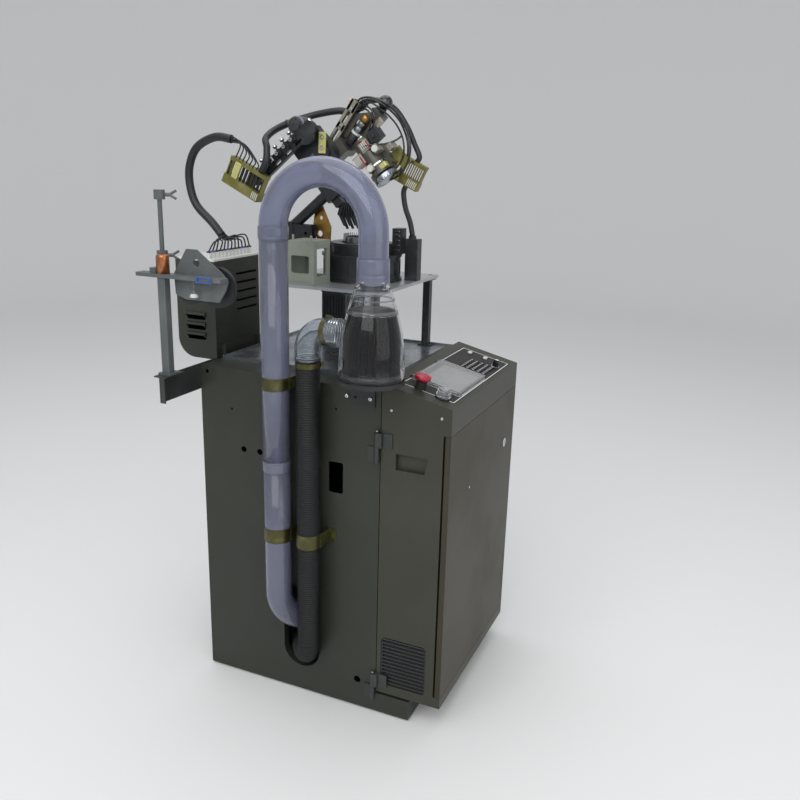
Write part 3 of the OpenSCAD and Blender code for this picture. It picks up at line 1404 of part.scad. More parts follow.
// Round arm that carries the head, with its post on the table and a bracket below
module head_arm() {
  top = 1226;
  y0 = table_y1 - 30;
  color("#242629") placed() {
    on_head() rod([arm_x, arm_len, 0], [arm_x, boss, 0], head_arm_d);
    difference() {
      block([post_foot[0], y0, table_z], [post_foot[1], table_y1, top]);
      for (x = post_foot) block([x - 5, y0 + 8, table_z + 16], [x + 5, table_y1 - 8, 1180]);
    }
    difference() {
      block([post_foot[0] - 14, y0 - 26, table_z], [post_foot[1] + 14, table_y1, table_z + 10]);
      for (x = [post_foot[0] - 7, post_foot[1] + 7])
        translate([x, y0 - 8, table_z - 1]) cylinder(h = 12, d = 7);
    }
    difference() {
      block([post_foot[0] + 2, 509, 1178], [post_foot[1] - 7, y0, 1220]);
      block([post_foot[0] + 8, 508, 1185], [post_foot[1] - 13, y0 - 8, 1221]);
      rod([post_foot[0], 524, 1198], [post_foot[1], 524, 1198], 9);
    }
  }
}

// Cast body of the head: a ribbed plate from the arm's end up to the motor's seat
module head_casting() {
  x0 = 256;
  x1 = 284;
  seat = 149;
  color("#33363a") placed() on_head() difference() {
    union() {
      along_x(x0, x1) {
        translate([-boss, -boss]) square(2 * boss);
        link([-10, 0], [-48, 78], 46);
        link([-48, 78], [-46, 118], 54);
        translate([-70, 100]) square([94, seat - 100]);
      }
      along_x(x0 - 6, x1) link([-48, 78], [-46, 112], 30);
      rod([guide_x1, guide_at[0], guide_at[1]], [x0 + 1, guide_at[0], guide_at[1]], 26);
      block([x1 - 18, -6, -44], [x1 + 2, 18, 1 - boss]);
    }
    along_x(x0 - 1, x0 + 9) link([-24, 22], [-44, 62], 16);
    along_x(x1 - 9, x1 + 1) link([-24, 22], [-44, 62], 16);
    for (y = [-58, -40, 2, 14]) rod([x0 - 1, y, 138], [x1 + 1, y, 138], 6);
    rod([x0 - 7, -48, 80], [x0, -48, 80], 10);
    rotate([head_tilt, 0, 0]) translate([0, -head_y, -head_z]) rod([271, finger_pin[0], finger_pin[1]],
      [290, finger_pin[0], finger_pin[1]], finger_bar_d + 2 * run_fit);
  }
}

// Head's motor: a round can with end caps, a foot on the casting and a brass cable gland
module head_motor() {
  seat = 149;
  y = -34;
  z = seat + motor_d / 2 + 4;
  color("#4a4d50") placed() on_head() difference() {
    union() {
      rod([240, y, z], [292, y, z], motor_d);
      rod([234, y, z], [242, y, z], motor_d - 4);
      rod([231, y, z], [235, y, z], 26);
      rod([290, y, z], [298, y, z], motor_d - 6);
      block([258, y - 20, seat], [282, y + 20, z - 8]);
      rod([262, y + 12, z + 18], [262, y + 22, z + 30], 15);
      rod([262, y + 21, z + 29], [262, y + 27, z + 36], 11);
    }
    rod([230, y, z], [233, y, z], 12);
    for (a = [45:90:315]) rotate_about_x(a, y, z) rod([233, 0, 15.5], [236, 0, 15.5], 4);
  }
}

finger_pin = [440, 1284];
finger_bar_d = 9;
guide_x0 = 222;
guide_x1 = 234;
guide_at = [-46, 132];

// Slanted guide arm with a ring wheel at its low end and a row of yarn adjusters along it
module guide_arm() {
  z = 142;
  ring_y = 120;
  color("#1d1f21") placed() on_head() difference() {
    union() {
      along_x(guide_x0, guide_x1) {
        link([136, z], [-66, z], 34);
        link([-40, z - 6], [-46, guide_at[1]], 40);
      }
      rod([guide_x0 - 6, ring_y, z], [guide_x0 + 1, ring_y, z], 30);
      rod([guide_x0 - 14, ring_y, z], [guide_x0 - 6, ring_y, z], 34);
      for (i = [0:4]) {
        y = 92 - 27 * i;
        block([guide_x0 - 12, y - 7, z - 2], [guide_x0 + 1, y + 7, z + 14]);
        rod([guide_x0 - 7, y, z + 12], [guide_x0 - 7, y, z + 28], 5);
        rod([guide_x0 - 7, y, z + 22], [guide_x0 - 7, y, z + 27], 11);
        rod([guide_x0 - 19, y + 2, z + 5], [guide_x0 - 11, y + 2, z + 5], 9);
      }
    }
    rod([guide_x0 - 16, ring_y, z], [guide_x0 - 9, ring_y, z], 20);
    rod([guide_x0 - 16, ring_y, z], [guide_x0 + 14, ring_y, z], 8);
    for (y = [60, 20, -20]) along_x(guide_x0 - 1, guide_x1 + 1) link([y + 8, z - 8], [y - 8, z - 8], 7);
  }
}

beam_x0 = 318;
beam_x1 = 352;
beam_end = -208;
housing_y = -120;
housing_x = 330;
dial_shaft_r = 7;
dial_z = -62;

// Front castings: a cross beam, a long beam to the handle, the dial's housing and a flat strut
module front_castings() {
  color("#6c6a62") placed() on_head() difference() {
    union() {
      block([284, -92, 52], [beam_x0 + 4, -50, 92]);
      along_x(beam_x0, beam_x1) {
        link([-72, 70], [-206, 79], 32);
        link([-72, 70], [-104, 98], 30);
      }
      along_x(beam_x0 - 6, beam_x0) {
        link([-104, 98], [-150, 112], 20);
        link([-178, 92], [-150, 112], 16);
      }
      translate([housing_x, housing_y, -44]) cylinder(h = 104, r = 27);
      translate([housing_x, housing_y, 58]) cylinder(h = 46, r = 17);
      translate([housing_x, housing_y, -44]) cylinder(h = 10, r = 34);
      along_x(300, 308) difference() {
        link([-44, 98], [-172, 133], 25);
        link([-70, 105], [-100, 113], 7);
        link([-120, 119], [-150, 127], 7);
      }
      rod([307, -60, 88], [318, -60, 88], 22);
      block([307, coupling_y - 14, coupling_z - 6], [coupling_x - 11.5, coupling_y - 4, coupling_z + 6]);
      for (i = [0:3]) {
        block([beam_x1 - 1, -128 - 22 * i, 66], [beam_x1 + 12, -114 - 22 * i, 92 + 3 * (i % 2)]);
        rod([beam_x1 + 5, -121 - 22 * i, 90], [beam_x1 + 5, -121 - 22 * i, 112], 6);
        rod([beam_x1 + 5, -121 - 22 * i, 104], [beam_x1 + 5, -121 - 22 * i, 109], 12);
      }
      block([beam_x1 - 1, housing_y - 40, -34], [beam_x1 + 1, housing_y + 24, 18]);
      block([housing_x, housing_y - 40, -34], [beam_x1, housing_y - 8, 18]);
    }
    translate([housing_x, housing_y, -46]) cylinder(h = 90, r = dial_shaft_r + run_fit);
    for (y = [-180, -150]) rod([beam_x0 - 1, y, 74], [beam_x1 + 1, y, 74], 10);
    block([beam_x0 - 1, beam_end - 20, 50], [beam_x1 + 1, beam_end, 110]);
    rod([299, -50, 98], [309, -50, 98], 7);
  }
}

// Dial: a slotted disc with its shaft in the housing
module dial() {
  r = 34;
  slots = 24;
  color("#85898c") placed() on_head() translate([housing_x, housing_y, 0]) difference() {
    union() {
      up(dial_z) cylinder(h = 12, r = r);
      up(dial_z + 11) cylinder(h = 6, r = 16);
      up(dial_z + 11) cylinder(h = 92, r = dial_shaft_r);
    }
    for (k = [0:slots - 1]) rotate([0, 0, 360 * k / slots]) block([22, -0.9, dial_z - 1], [r + 1, 0.9, dial_z + 4]);
  }
}

// Ball handle at the front end of the head
module ball_handle() {
  color("#101112") placed() on_head() {
    rod([beam_x0 + 17, beam_end, 80], [beam_x0 + 17, beam_end - 14, 80], 12);
    translate([beam_x0 + 17, beam_end - 22.5, 91]) sphere(d = ball_d);
  }
}

// Air manifold: a slanted bar with a row of bright tubes and a dark bar on top
module manifold(at, x0, x1, pitch, tube_h) {
  l = pitch * manifold_ways + 4;
  translate([0, at[0], at[1]]) rotate([manifold_lean, 0, 0]) {
    block([x0, 0, 0], [x1, l, 24]);
    for (i = [0:manifold_ways - 1]) rod([(x0 + x1) / 2, 2 + pitch * (i + 0.5), 23],
      [(x0 + x1) / 2, 2 + pitch * (i + 0.5), 25 + tube_h], pitch * 0.55);
    block([x0 + 3, 0, 24 + tube_h], [x1 - 3, l, 34 + tube_h]);
    block([x0 + 6, 0, 0], [x1 - 6, 3, 34 + tube_h]);
    block([x0 + 6, l - 3, 0], [x1 - 6, l, 34 + tube_h]);
  }
}

module manifolds() {
  color("#8c8648") placed() {
    manifold(rear_manifold, rear_manifold_x[0], rear_manifold_x[1], 11.2, rear_tube_h);
    translate([0, rear_manifold[0], rear_manifold[1]]) rotate([manifold_lean, 0, 0])
      block([rear_manifold_x[1] - 4, 36, 0], [rear_manifold_x[1], 62, 60]);
    on_head() block([rear_manifold_x[1] - 1, 139, 134], [guide_x0, 150, 150]);
    manifold(front_manifold, front_manifold_x[0], front_manifold_x[1], 6.4, 34);
    on_head() {
      block([beam_x1 + 1, -190, -33], [beam_x1 + 5, -137, -8]);
      block([beam_x1 + 1, -190, -60], [beam_x1 + 5, -161, -20]);
      block([beam_x1 + 4, -190, -58], [front_manifold_x[0] + 5, -176, -38]);
    }
  }
}

// Yarn fingers: a comb of slanted fingers on a bar that turns about its pin
module yarn_fingers() {
  x0 = 300;
  count = 6;
  color("#2b2d30") placed() {
    rod([x0 - 28, finger_pin[0], finger_pin[1]], [x0 + 50, finger_pin[0], finger_pin[1]], finger_bar_d);
    for (i = [0:count - 1]) along_x(x0 + 8 * i, x0 + 8 * i + 5) {
      link(finger_pin, finger_pin + [10 - 4 * i, -34], 9);
      link(finger_pin + [10 - 4 * i, -34], finger_pin + [-6 - 4 * i, -62 - (i % 2) * 8], 6);
      translate(finger_pin) circle(11);
    }
  }
}

base_body();
levelling_feet();
oil_tray();
table_posts();
work_table();
sock_tube_arch();
sock_tube_leg();
sock_tube_bend();
pipe_clamps();
suction_hose();
jar_elbow();
collector_jar();
collector_filter();
collector_base();
take_down_hose();
down_pipe();
suction_fan();
fan_impeller();
valve_box();
valve_fittings();
valve_tubes();
conduits();
support_arm();
feeder_posts();
feeder_plate();
feeder_drum_rear();
feeder_drum_front();
bracket_column();
cam_box();
needle_cylinder();
needle_set();
dial();
guide_arm();
servo_motor();
motor_pulley();
drive_belt();
head_arm();
head_casting();
head_motor();
front_castings();
manifolds();
yarn_fingers();
brass_lever();
ball_handle();
hinge_base_halves();
hinge_cabinet_halves();
cabinet_shell();
cabinet_door();
door_lock();
air_filter();
control_unit();
console_panel();
screen();
screen_cover();
keypad();
start_button();
stop_button();
estop_button();
speed_knob();
selector_knob();
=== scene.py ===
# %% [markdown]
# # A sock knitting machine, dressed in Blender
# The CAD model gives every part its size and place. This notebook loads it as a fixed frame,
# gives each painted, cast, rubber and glass surface its own material, and adds the pieces that
# CAD solids show poorly: clear tubes with soft rims, the ribbed hose, cords, the pleats of the
# filter, the small parts of the head, and the printed lines on the console.

# %% Load the frame and note its box
import math

import bmesh
import bpy
import numpy as np
from mathutils import Matrix


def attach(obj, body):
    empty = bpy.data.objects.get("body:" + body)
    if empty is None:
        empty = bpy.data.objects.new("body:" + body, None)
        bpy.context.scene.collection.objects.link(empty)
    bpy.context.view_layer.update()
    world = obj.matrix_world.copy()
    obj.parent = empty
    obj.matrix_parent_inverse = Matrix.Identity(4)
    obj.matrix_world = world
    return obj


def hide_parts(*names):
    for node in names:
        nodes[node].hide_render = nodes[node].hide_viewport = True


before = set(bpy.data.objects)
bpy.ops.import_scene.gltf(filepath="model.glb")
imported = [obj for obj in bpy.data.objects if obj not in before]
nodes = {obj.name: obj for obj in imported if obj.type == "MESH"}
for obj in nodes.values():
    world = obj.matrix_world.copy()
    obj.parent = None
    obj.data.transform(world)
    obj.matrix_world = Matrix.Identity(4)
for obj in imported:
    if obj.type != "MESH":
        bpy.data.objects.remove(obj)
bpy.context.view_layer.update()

# %% [markdown]
# ## Places
# The maker measures from the base's left front corner on the floor, in millimetres. The frame
# has its origin under the machine's centre, in metres, so one function moves between them. The
# console slopes and the head is tilted, so each has a small frame of its own. Working in the
# part's own frame keeps the numbers those that a rule on the real machine would give. One
# helper makes every such frame, because each is a turn about x and then a move.

# %% Ways to say a place
CORNER = np.array([185.0, 431.0, 0.0])
PANEL_FOOT_Z = 853
SLOPE = math.radians(13.2)
HEAD_AT = (455, 1312)
TILT = math.radians(40)


def place(points):
    """Corner-frame millimetres to frame metres: subtract the corner, divide by a thousand."""
    return (np.asarray(points, float) - CORNER) / 1000


def turned_frame(angle, y0, z0):
    """Gives a function from own places to corner ones: a turn about x by the angle, then a move."""
    c, s = math.cos(angle), math.sin(angle)

    def to_corner(points):
        """y becomes y0 + c y - s z, z becomes z0 + s y + c z, and x stays."""
        p = np.asarray(points, float)
        return np.stack([p[..., 0], y0 + c * p[..., 1] - s * p[..., 2], z0 + s * p[..., 1] + c * p[..., 2]], -1)

    return to_corner


on_console = turned_frame(SLOPE, 0, PANEL_FOOT_Z)
on_head = turned_frame(-TILT, *HEAD_AT)
print("head's own origin:", place(on_head([0, 0, 0])).round(3))

# %% [markdown]
# ## Camera
# The photograph was taken at chest height, looking down a little and along the machine's left
# side. The camera's three axes come from its heading, its downward pitch and a slight roll. They
# could be typed as angles on the camera object, but a matrix shows which axis points where.

# %% Camera at the photograph's view
FOCAL_PX, PICTURE_PX, SENSOR_MM = 827.93, 800, 36
CAMERA_AT = (-1.872, -1.028, 1.395)
heading, pitch, roll = math.radians(23.32), math.radians(16.26), math.radians(1.56)
ahead = np.array([math.cos(heading) * math.cos(pitch), math.sin(heading) * math.cos(pitch), -math.sin(pitch)])
level = np.array([math.sin(heading), -math.cos(heading), 0.0])
over = np.cross(level, ahead)
right = level * math.cos(roll) + over * math.sin(roll)
up = -level * math.sin(roll) + over * math.cos(roll)
lens = bpy.data.cameras.new("camera")
lens.sensor_width = SENSOR_MM
lens.lens = FOCAL_PX / PICTURE_PX * SENSOR_MM
lens.clip_end = 60
camera = bpy.data.objects.new("camera", lens)
bpy.context.scene.collection.objects.link(camera)
pose = np.eye(4)
pose[:3, 0], pose[:3, 1], pose[:3, 2], pose[:3, 3] = right, up, -ahead, CAMERA_AT
camera.matrix_world = Matrix(pose.tolist())
bpy.context.scene.camera = camera
print("lens", round(lens.lens, 2), "mm")

# %% [markdown]
# ## Grids to meshes
# Every new piece is a grid of points worked out at once. One function turns such a grid into
# faces and can join its ends, so a tube or a ring closes without a seam. Blender's own shapes
# could be stretched instead, but a grid lets the whole outline come from one formula.

# %% From a grid of points to a mesh
MERGE = 1e-7


def grid_faces(nu, nv, wrap_u=False, wrap_v=False):
    """Point numbers of each face: (i, j), (i+1, j), (i+1, j+1), (i, j+1), wrapped where asked."""
    a, b = np.meshgrid(np.arange(nu if wrap_u else nu - 1), np.arange(nv if wrap_v else nv - 1), indexing="ij")
    a2, b2 = (a + 1) % nu, (b + 1) % nv
    return np.stack([a * nv + b, a2 * nv + b, a2 * nv + b2, a * nv + b2], -1).reshape(-1, 4)


def new_piece(name, points, faces, smooth=True):
    """A mesh object from metre points and faces, at the origin."""
    mesh = bpy.data.meshes.new(name)
    mesh.from_pydata(np.asarray(points, float).reshape(-1, 3).tolist(), [], faces)
    mesh.update()
    mesh.polygons.foreach_set("use_smooth", np.full(len(faces), smooth))
    piece = bpy.data.objects.new(name, mesh)
    bpy.context.scene.collection.objects.link(piece)
    return piece


def skin(name, grid, wrap_u=False, wrap_v=False, smooth=True, ends=False):
    """One grid as a mesh; ends adds a flat cap over the first and the last row."""
    grid = np.asarray(grid, float)
    nu, nv = grid.shape[:2]
    faces = grid_faces(nu, nv, wrap_u, wrap_v).tolist()
    if ends:
        faces += [list(range(nv))[::-1], [(nu - 1) * nv + k for k in range(nv)]]
    piece = new_piece(name, grid, faces, smooth)
    if ends and smooth:
        polygons = piece.data.polygons
        polygons[-1].use_smooth = polygons[-2].use_smooth = False
    return piece


def outward(piece):
    """Merges doubles and turns every face outwards."""
    b = bmesh.new()
    b.from_mesh(piece.data)
    bmesh.ops.remove_doubles(b, verts=b.verts, dist=MERGE)
    bmesh.ops.recalc_face_normals(b, faces=b.faces)
    b.to_mesh(piece.data)
    b.free()
    return piece


print("grid helpers ready")

# %% [markdown]
# ## Tubes and turned pieces
# Most of this machine is round: pipes, hoses, knobs, caps. A tube is a circle carried along a
# path, with two directions square to the path at each point. A turned piece is an outline swung
# about an axis, as on a lathe. Both take whole arrays, so a new outline is one short list.

# %% Circles along a path, outlines about an axis


def ring_frames(path, side=(1, 0, 0), first=None, last=None):
    """Two directions square to a path at each point: side made square to the heading, and their cross."""
    path = np.asarray(path, float)
    t = np.gradient(path, axis=0)
    if first is not None:
        t[0] = first
    if last is not None:
        t[-1] = last
    t /= np.linalg.norm(t, axis=1, keepdims=True)
    u = np.asarray(side, float) - (t @ np.asarray(side, float))[:, None] * t
    u /= np.linalg.norm(u, axis=1, keepdims=True)
    return u, np.cross(t, u)


def tube(name, path, radius, sides=24, side=(1, 0, 0), first=None, last=None, bore=None):
    """A circle carried along a path. With a bore, the wall runs back along the inside and closes."""
    path = np.asarray(path, float)
    u, v = ring_frames(path, side, first, last)
    a = np.linspace(0, 2 * np.pi, sides, endpoint=False)
    circle = np.cos(a)[None, :, None] * u[:, None] + np.sin(a)[None, :, None] * v[:, None]
    r = np.broadcast_to(radius, len(path))[:, None, None]
    outer = path[:, None] + r * circle
    if bore is None:
        return outward(skin(name, outer, wrap_v=True, ends=True))
    b = np.broadcast_to(bore, len(path))[:, None, None]
    inner = (path[:, None] + b * circle)[::-1]
    return outward(skin(name, np.concatenate([outer, inner]), wrap_u=True, wrap_v=True))


def about_axis(u, v, w, axis):
    """Puts two sideways parts and a lengthwise part in x, y, z order for an axis."""
    return np.stack({"z": (u, v, w), "x": (w, u, v), "y": (v, w, u)}[axis], -1)


def turned(name, profile, centre, sides=64, axis="z", to=np.asarray):
    """A closed profile of (radius, height) turned about an axis through centre, then moved by to."""
    p = np.asarray(profile, float)
    a = np.linspace(0, 2 * np.pi, sides, endpoint=False)
    r, h = p[:, :1], p[:, 1:2] + 0 * a[None]
    grid = about_axis(r * np.cos(a)[None], r * np.sin(a)[None], h, axis) + np.asarray(centre, float)
    return outward(skin(name, place(to(grid)), wrap_u=True, wrap_v=True))


print("tubes and turned pieces ready")

# %% [markdown]
# ## Room and light
# A plain pale bowl serves as floor and backdrop, flat underfoot and rising softly. A flat floor
# with one wall would be quicker, but its edges show from behind. The bowl looks the same from
# every side. It is an outline turned about the machine's middle.

# %% Floor and backdrop: one bowl, flat underfoot, with a round rise and a wall all about
FLAT_R, RISE_R, WALL_TOP = 6.0, 2.0, 5.2
rise = np.linspace(0.1, np.pi / 2, 12)
bowl_r = np.concatenate([[0.0, 1.0, 3.0, 5.0], FLAT_R + RISE_R * np.sin(rise), [FLAT_R + RISE_R]])
bowl_z = np.concatenate([np.zeros(4), RISE_R - RISE_R * np.cos(rise), [WALL_TOP]])
about = np.linspace(0, 2 * np.pi, 144, endpoint=False)[:, None]
bowl_grid = np.stack([bowl_r * np.cos(about), bowl_r * np.sin(about), bowl_z + 0 * about], -1)
floor = skin("floor", bowl_grid, wrap_u=True)
outward(floor)
room = bpy.data.materials.new("pale room")
room.use_nodes = True
room_shader = room.node_tree.nodes["Principled BSDF"]
room_shader.inputs["Base Color"].default_value = (0.85, 0.85, 0.84, 1)
room_shader.inputs["Roughness"].default_value = 0.6
floor.data.materials.append(room)
print("floor:", len(floor.data.polygons), "faces")

# %% [markdown]
# ## Lamps and world
# Three lamps light the machine: a key from behind the camera's left shoulder, a weaker fill from
# its right, and one from above. Small lamps would be sharper and would sparkle in the clear
# walls, so these are large and give the long soft highlights of the real pipes. The world is
# pale. What the camera and clear surfaces see of it is almost white, and what falls on the
# machine as light is about half as strong.

# %% Lamps and world


def lamp(name, where, at, size, power):
    """A square area lamp at a place, turned to look at a point."""
    data = bpy.data.lights.new(name, "AREA")
    data.size, data.energy = size, power
    obj = bpy.data.objects.new(name, data)
    bpy.context.scene.collection.objects.link(obj)
    z = np.asarray(where, float) - np.asarray(at, float)
    z /= np.linalg.norm(z)
    x = np.cross((0, 0, 1), z)
    x /= np.linalg.norm(x)
    m = np.eye(4)
    m[:3, 0], m[:3, 1], m[:3, 2], m[:3, 3] = x, np.cross(z, x), z, where
    obj.matrix_world = Matrix(m.tolist())


LAMP_SIZE = 3.6
lamp("key", (-3.2, -0.4, 3.4), (0, 0, 0.8), LAMP_SIZE, 96)
lamp("fill", (-1.6, -3.6, 2.2), (0, 0, 0.7), LAMP_SIZE, 38)
lamp("top", (0.6, 0.4, 4.2), (0, 0, 0.6), LAMP_SIZE, 46)
world = bpy.data.worlds.new("studio")
bpy.context.scene.world = world
world.use_nodes = True
wn = world.node_tree
light_path = wn.nodes.new("ShaderNodeLightPath")
seen = wn.nodes.new("ShaderNodeMath")
seen.operation = "MAXIMUM"
wn.links.new(light_path.outputs["Is Camera Ray"], seen.inputs[0])
wn.links.new(light_path.outputs["Is Transmission Ray"], seen.inputs[1])
strength = wn.nodes.new("ShaderNodeMapRange")
strength.inputs["To Min"].default_value = 0.50
strength.inputs["To Max"].default_value = 0.92
wn.links.new(seen.outputs[0], strength.inputs["Value"])
wn.nodes["Background"].inputs["Color"].default_value = (0.93, 0.95, 1.0, 1)
wn.links.new(strength.outputs["Result"], wn.nodes["Background"].inputs["Strength"])
bpy.context.scene.view_settings.view_transform = "Standard"
print("three lamps and the world ready")

# %% [markdown]
# ## Effects that finishes share
# Three shader groups serve all finishes. *Patches* gives slow stains and rubbed places. *Peel*
# gives the fine skin of sprayed paint or moulded plastic. *Brushing* gives fine straight lines.
# Each puts out values only, so every material decides what they do to it.

# %% Shader groups


def new_group(name, inputs, outputs):
    """An empty node group with named number inputs and outputs."""
    g = bpy.data.node_groups.new(name, "ShaderNodeTree")
    for label, value in inputs:
        socket = g.interface.new_socket(label, in_out="INPUT", socket_type="NodeSocketFloat")
        socket.default_value = value
    for label in outputs:
        g.interface.new_socket(label, in_out="OUTPUT", socket_type="NodeSocketFloat")
    return g, g.nodes.new("NodeGroupInput"), g.nodes.new("NodeGroupOutput")


def noise_node(tree, scale, detail=3.0, vector=None, roughness=0.5):
    """A noise on Object coordinates; scale may be a number or another node's output."""
    n = tree.nodes.new("ShaderNodeTexNoise")
    n.inputs["Detail"].default_value = detail
    n.inputs["Roughness"].default_value = roughness
    if isinstance(scale, (int, float)):
        n.inputs["Scale"].default_value = scale
    else:
        tree.links.new(scale, n.inputs["Scale"])
    tree.links.new(vector or tree.nodes.new("ShaderNodeTexCoord").outputs["Object"], n.inputs["Vector"])
    return n.outputs["Fac"]


patches, gin, gout = new_group("patches", [("Scale", 6.0), ("Low", 0.48), ("High", 0.7)], ["Mask", "Fine"])
ramp = patches.nodes.new("ShaderNodeMapRange")
ramp.interpolation_type = "SMOOTHSTEP"
patches.links.new(noise_node(patches, gin.outputs["Scale"], 5, roughness=0.62), ramp.inputs["Value"])
patches.links.new(gin.outputs["Low"], ramp.inputs["From Min"])
patches.links.new(gin.outputs["High"], ramp.inputs["From Max"])
patches.links.new(ramp.outputs["Result"], gout.inputs["Mask"])
patches.links.new(noise_node(patches, 160.0, 2), gout.inputs["Fine"])

peel, gin, gout = new_group("peel", [("Scale", 420.0)], ["Height"])
peel.links.new(noise_node(peel, gin.outputs["Scale"], 2), gout.inputs["Height"])

brushing, gin, gout = new_group("brushing", [("Along X", 1.0), ("Along Y", 1.0), ("Along Z", 1.0)], ["Lines"])
stretch = brushing.nodes.new("ShaderNodeCombineXYZ")
for k in range(3):
    brushing.links.new(gin.outputs[k], stretch.inputs[k])
squeeze = brushing.nodes.new("ShaderNodeVectorMath")
squeeze.operation = "MULTIPLY"
brushing.links.new(brushing.nodes.new("ShaderNodeTexCoord").outputs["Object"], squeeze.inputs[0])
brushing.links.new(stretch.outputs[0], squeeze.inputs[1])
brushing.links.new(noise_node(brushing, 1.0, 4, squeeze.outputs[0]), gout.inputs["Lines"])
print("groups:", patches.name, peel.name, brushing.name)

# %% [markdown]
# ## A finish from its numbers
# On the real machine no surface has one even colour: paint is rubbed, castings are oily in
# places, steel has ground lines. Painted pictures of each part could show that, but they would
# fit one view only. So a finish here is two colours and two roughnesses mixed by patches, with a
# fine relief. Clear plastic is simpler: its look comes from the light that passes its walls.

# %% Colours, finishes and clear walls
RELIEF_DEPTH, RELIEF_GAIN = 0.0004, 4


def hue(code):
    """A colour as seen, in hex, to the linear numbers that shaders use, by the screen's own curve."""
    v = np.array([int(code[k:k + 2], 16) for k in (1, 3, 5)]) / 255
    return tuple(float(x) for x in np.where(v <= 0.04045, v / 12.92, ((v + 0.055) / 1.055) ** 2.4))


def plain_material(name):
    """A material with its node tree and its main shader."""
    m = bpy.data.materials.new(name)
    m.use_nodes = True
    return m, m.node_tree, m.node_tree.nodes["Principled BSDF"]


def colour_mix(tree, factor, blend="MIX"):
    """A node that mixes two colours; its colours are inputs 6 and 7, its result is output 2."""
    mix = tree.nodes.new("ShaderNodeMix")
    mix.data_type, mix.blend_type = "RGBA", blend
    if isinstance(factor, (int, float)):
        mix.inputs[0].default_value = factor
    else:
        tree.links.new(factor, mix.inputs[0])
    return mix


def stretched(tree, source, low, high):
    """A value from 0 to 1 stretched to run from low to high."""
    span = tree.nodes.new("ShaderNodeMapRange")
    span.inputs["To Min"].default_value, span.inputs["To Max"].default_value = low, high
    tree.links.new(source, span.inputs["Value"])
    return span.outputs["Result"]


def finish_of(name, colour, worn, rough, metal=0.0, bump=0.05, peel_scale=420.0,
              patch=(6.0, 0.48, 0.72), lines=None, coat=0.0, specular=None, fine=0.06):
    """Two colours and two roughnesses mixed by patches, with peel or brushed lines as the bump."""
    m, t, b = plain_material(name)
    p = t.nodes.new("ShaderNodeGroup")
    p.node_tree = patches
    for key, value in zip(("Scale", "Low", "High"), patch):
        p.inputs[key].default_value = value
    mix = colour_mix(t, p.outputs["Mask"])
    mix.inputs[6].default_value, mix.inputs[7].default_value = (*hue(colour), 1), (*hue(worn), 1)
    grain = colour_mix(t, 1.0, "MULTIPLY")
    t.links.new(mix.outputs[2], grain.inputs[6])
    t.links.new(stretched(t, p.outputs["Fine"], 1 - fine, 1 + fine), grain.inputs[7])
    t.links.new(grain.outputs[2], b.inputs["Base Color"])
    t.links.new(stretched(t, p.outputs["Mask"], *rough), b.inputs["Roughness"])
    b.inputs["Metallic"].default_value = metal
    b.inputs["Coat Weight"].default_value = coat
    if specular is not None:
        b.inputs["Specular IOR Level"].default_value = specular
    relief = t.nodes.new("ShaderNodeBump")
    relief.inputs["Distance"].default_value = RELIEF_DEPTH
    relief.inputs["Strength"].default_value = bump * RELIEF_GAIN
    texture = t.nodes.new("ShaderNodeGroup")
    texture.node_tree = brushing if lines else peel
    for k, value in enumerate(lines or (peel_scale,)):
        texture.inputs[k].default_value = value
    t.links.new(texture.outputs[0], relief.inputs["Height"])
    t.links.new(relief.outputs["Normal"], b.inputs["Normal"])
    return m


def clear(name, colour, rough, plain, ior=1.45):
    """A clear wall: it lets light through and bends it, but for a small share of plain colour."""
    m, _, b = plain_material(name)
    b.inputs["Base Color"].default_value = (*hue(colour), 1)
    b.inputs["Roughness"].default_value = rough
    b.inputs["IOR"].default_value = ior
    b.inputs["Transmission Weight"].default_value = 1.0 - plain
    return m


print("a mid grey is", [round(v, 3) for v in hue("#808080")])

# %% [markdown]
# ## Paints
# The base and the cabinet are sprayed a dark grey-green, the door is more olive, the bracket
# column cream. Sprayed paint could be one gloss all over, but a large flat side then looks like
# cut paper. So soft patches change its gloss a little, and they are widest on the large sides.

# %% Paints of the sheet metal and the plates
LARGE = (3.2, 0.45, 0.75)
base_paint = finish_of("base paint", "#31332d", "#393b35", (0.42, 0.56), bump=0.10, peel_scale=380,
                       patch=LARGE, specular=0.32)
cabinet_paint = finish_of("cabinet paint", "#37382e", "#3f4036", (0.40, 0.52), bump=0.10, peel_scale=380,
                          patch=LARGE, specular=0.32)
door_paint = finish_of("door paint", "#353225", "#3d3a2d", (0.42, 0.54), bump=0.10, peel_scale=380,
                       patch=(3.0, 0.45, 0.75), specular=0.30)
dark_paint = finish_of("dark paint", "#2c302e", "#393d3a", (0.38, 0.55), bump=0.10)
grey_paint = finish_of("grey paint", "#54595a", "#65696a", (0.35, 0.5), bump=0.08)
cream_paint = finish_of("cream paint", "#8d9488", "#7c8378", (0.4, 0.55), bump=0.10)
motor_black = finish_of("motor enamel", "#33363a", "#45484c", (0.3, 0.45), metal=0.1, bump=0.12)
print("seven paints")

# %% [markdown]
# ## Metals
# Castings are dark and a little oily, with a coarse skin. The table is steel, ground along one
# direction, and the tray is darker. Such lines could be cut as grooves, but they are finer than a
# hair, so they are a relief that noise stretched in one direction gives. Zinc and brass wear in
# small spots, so their patches are small.

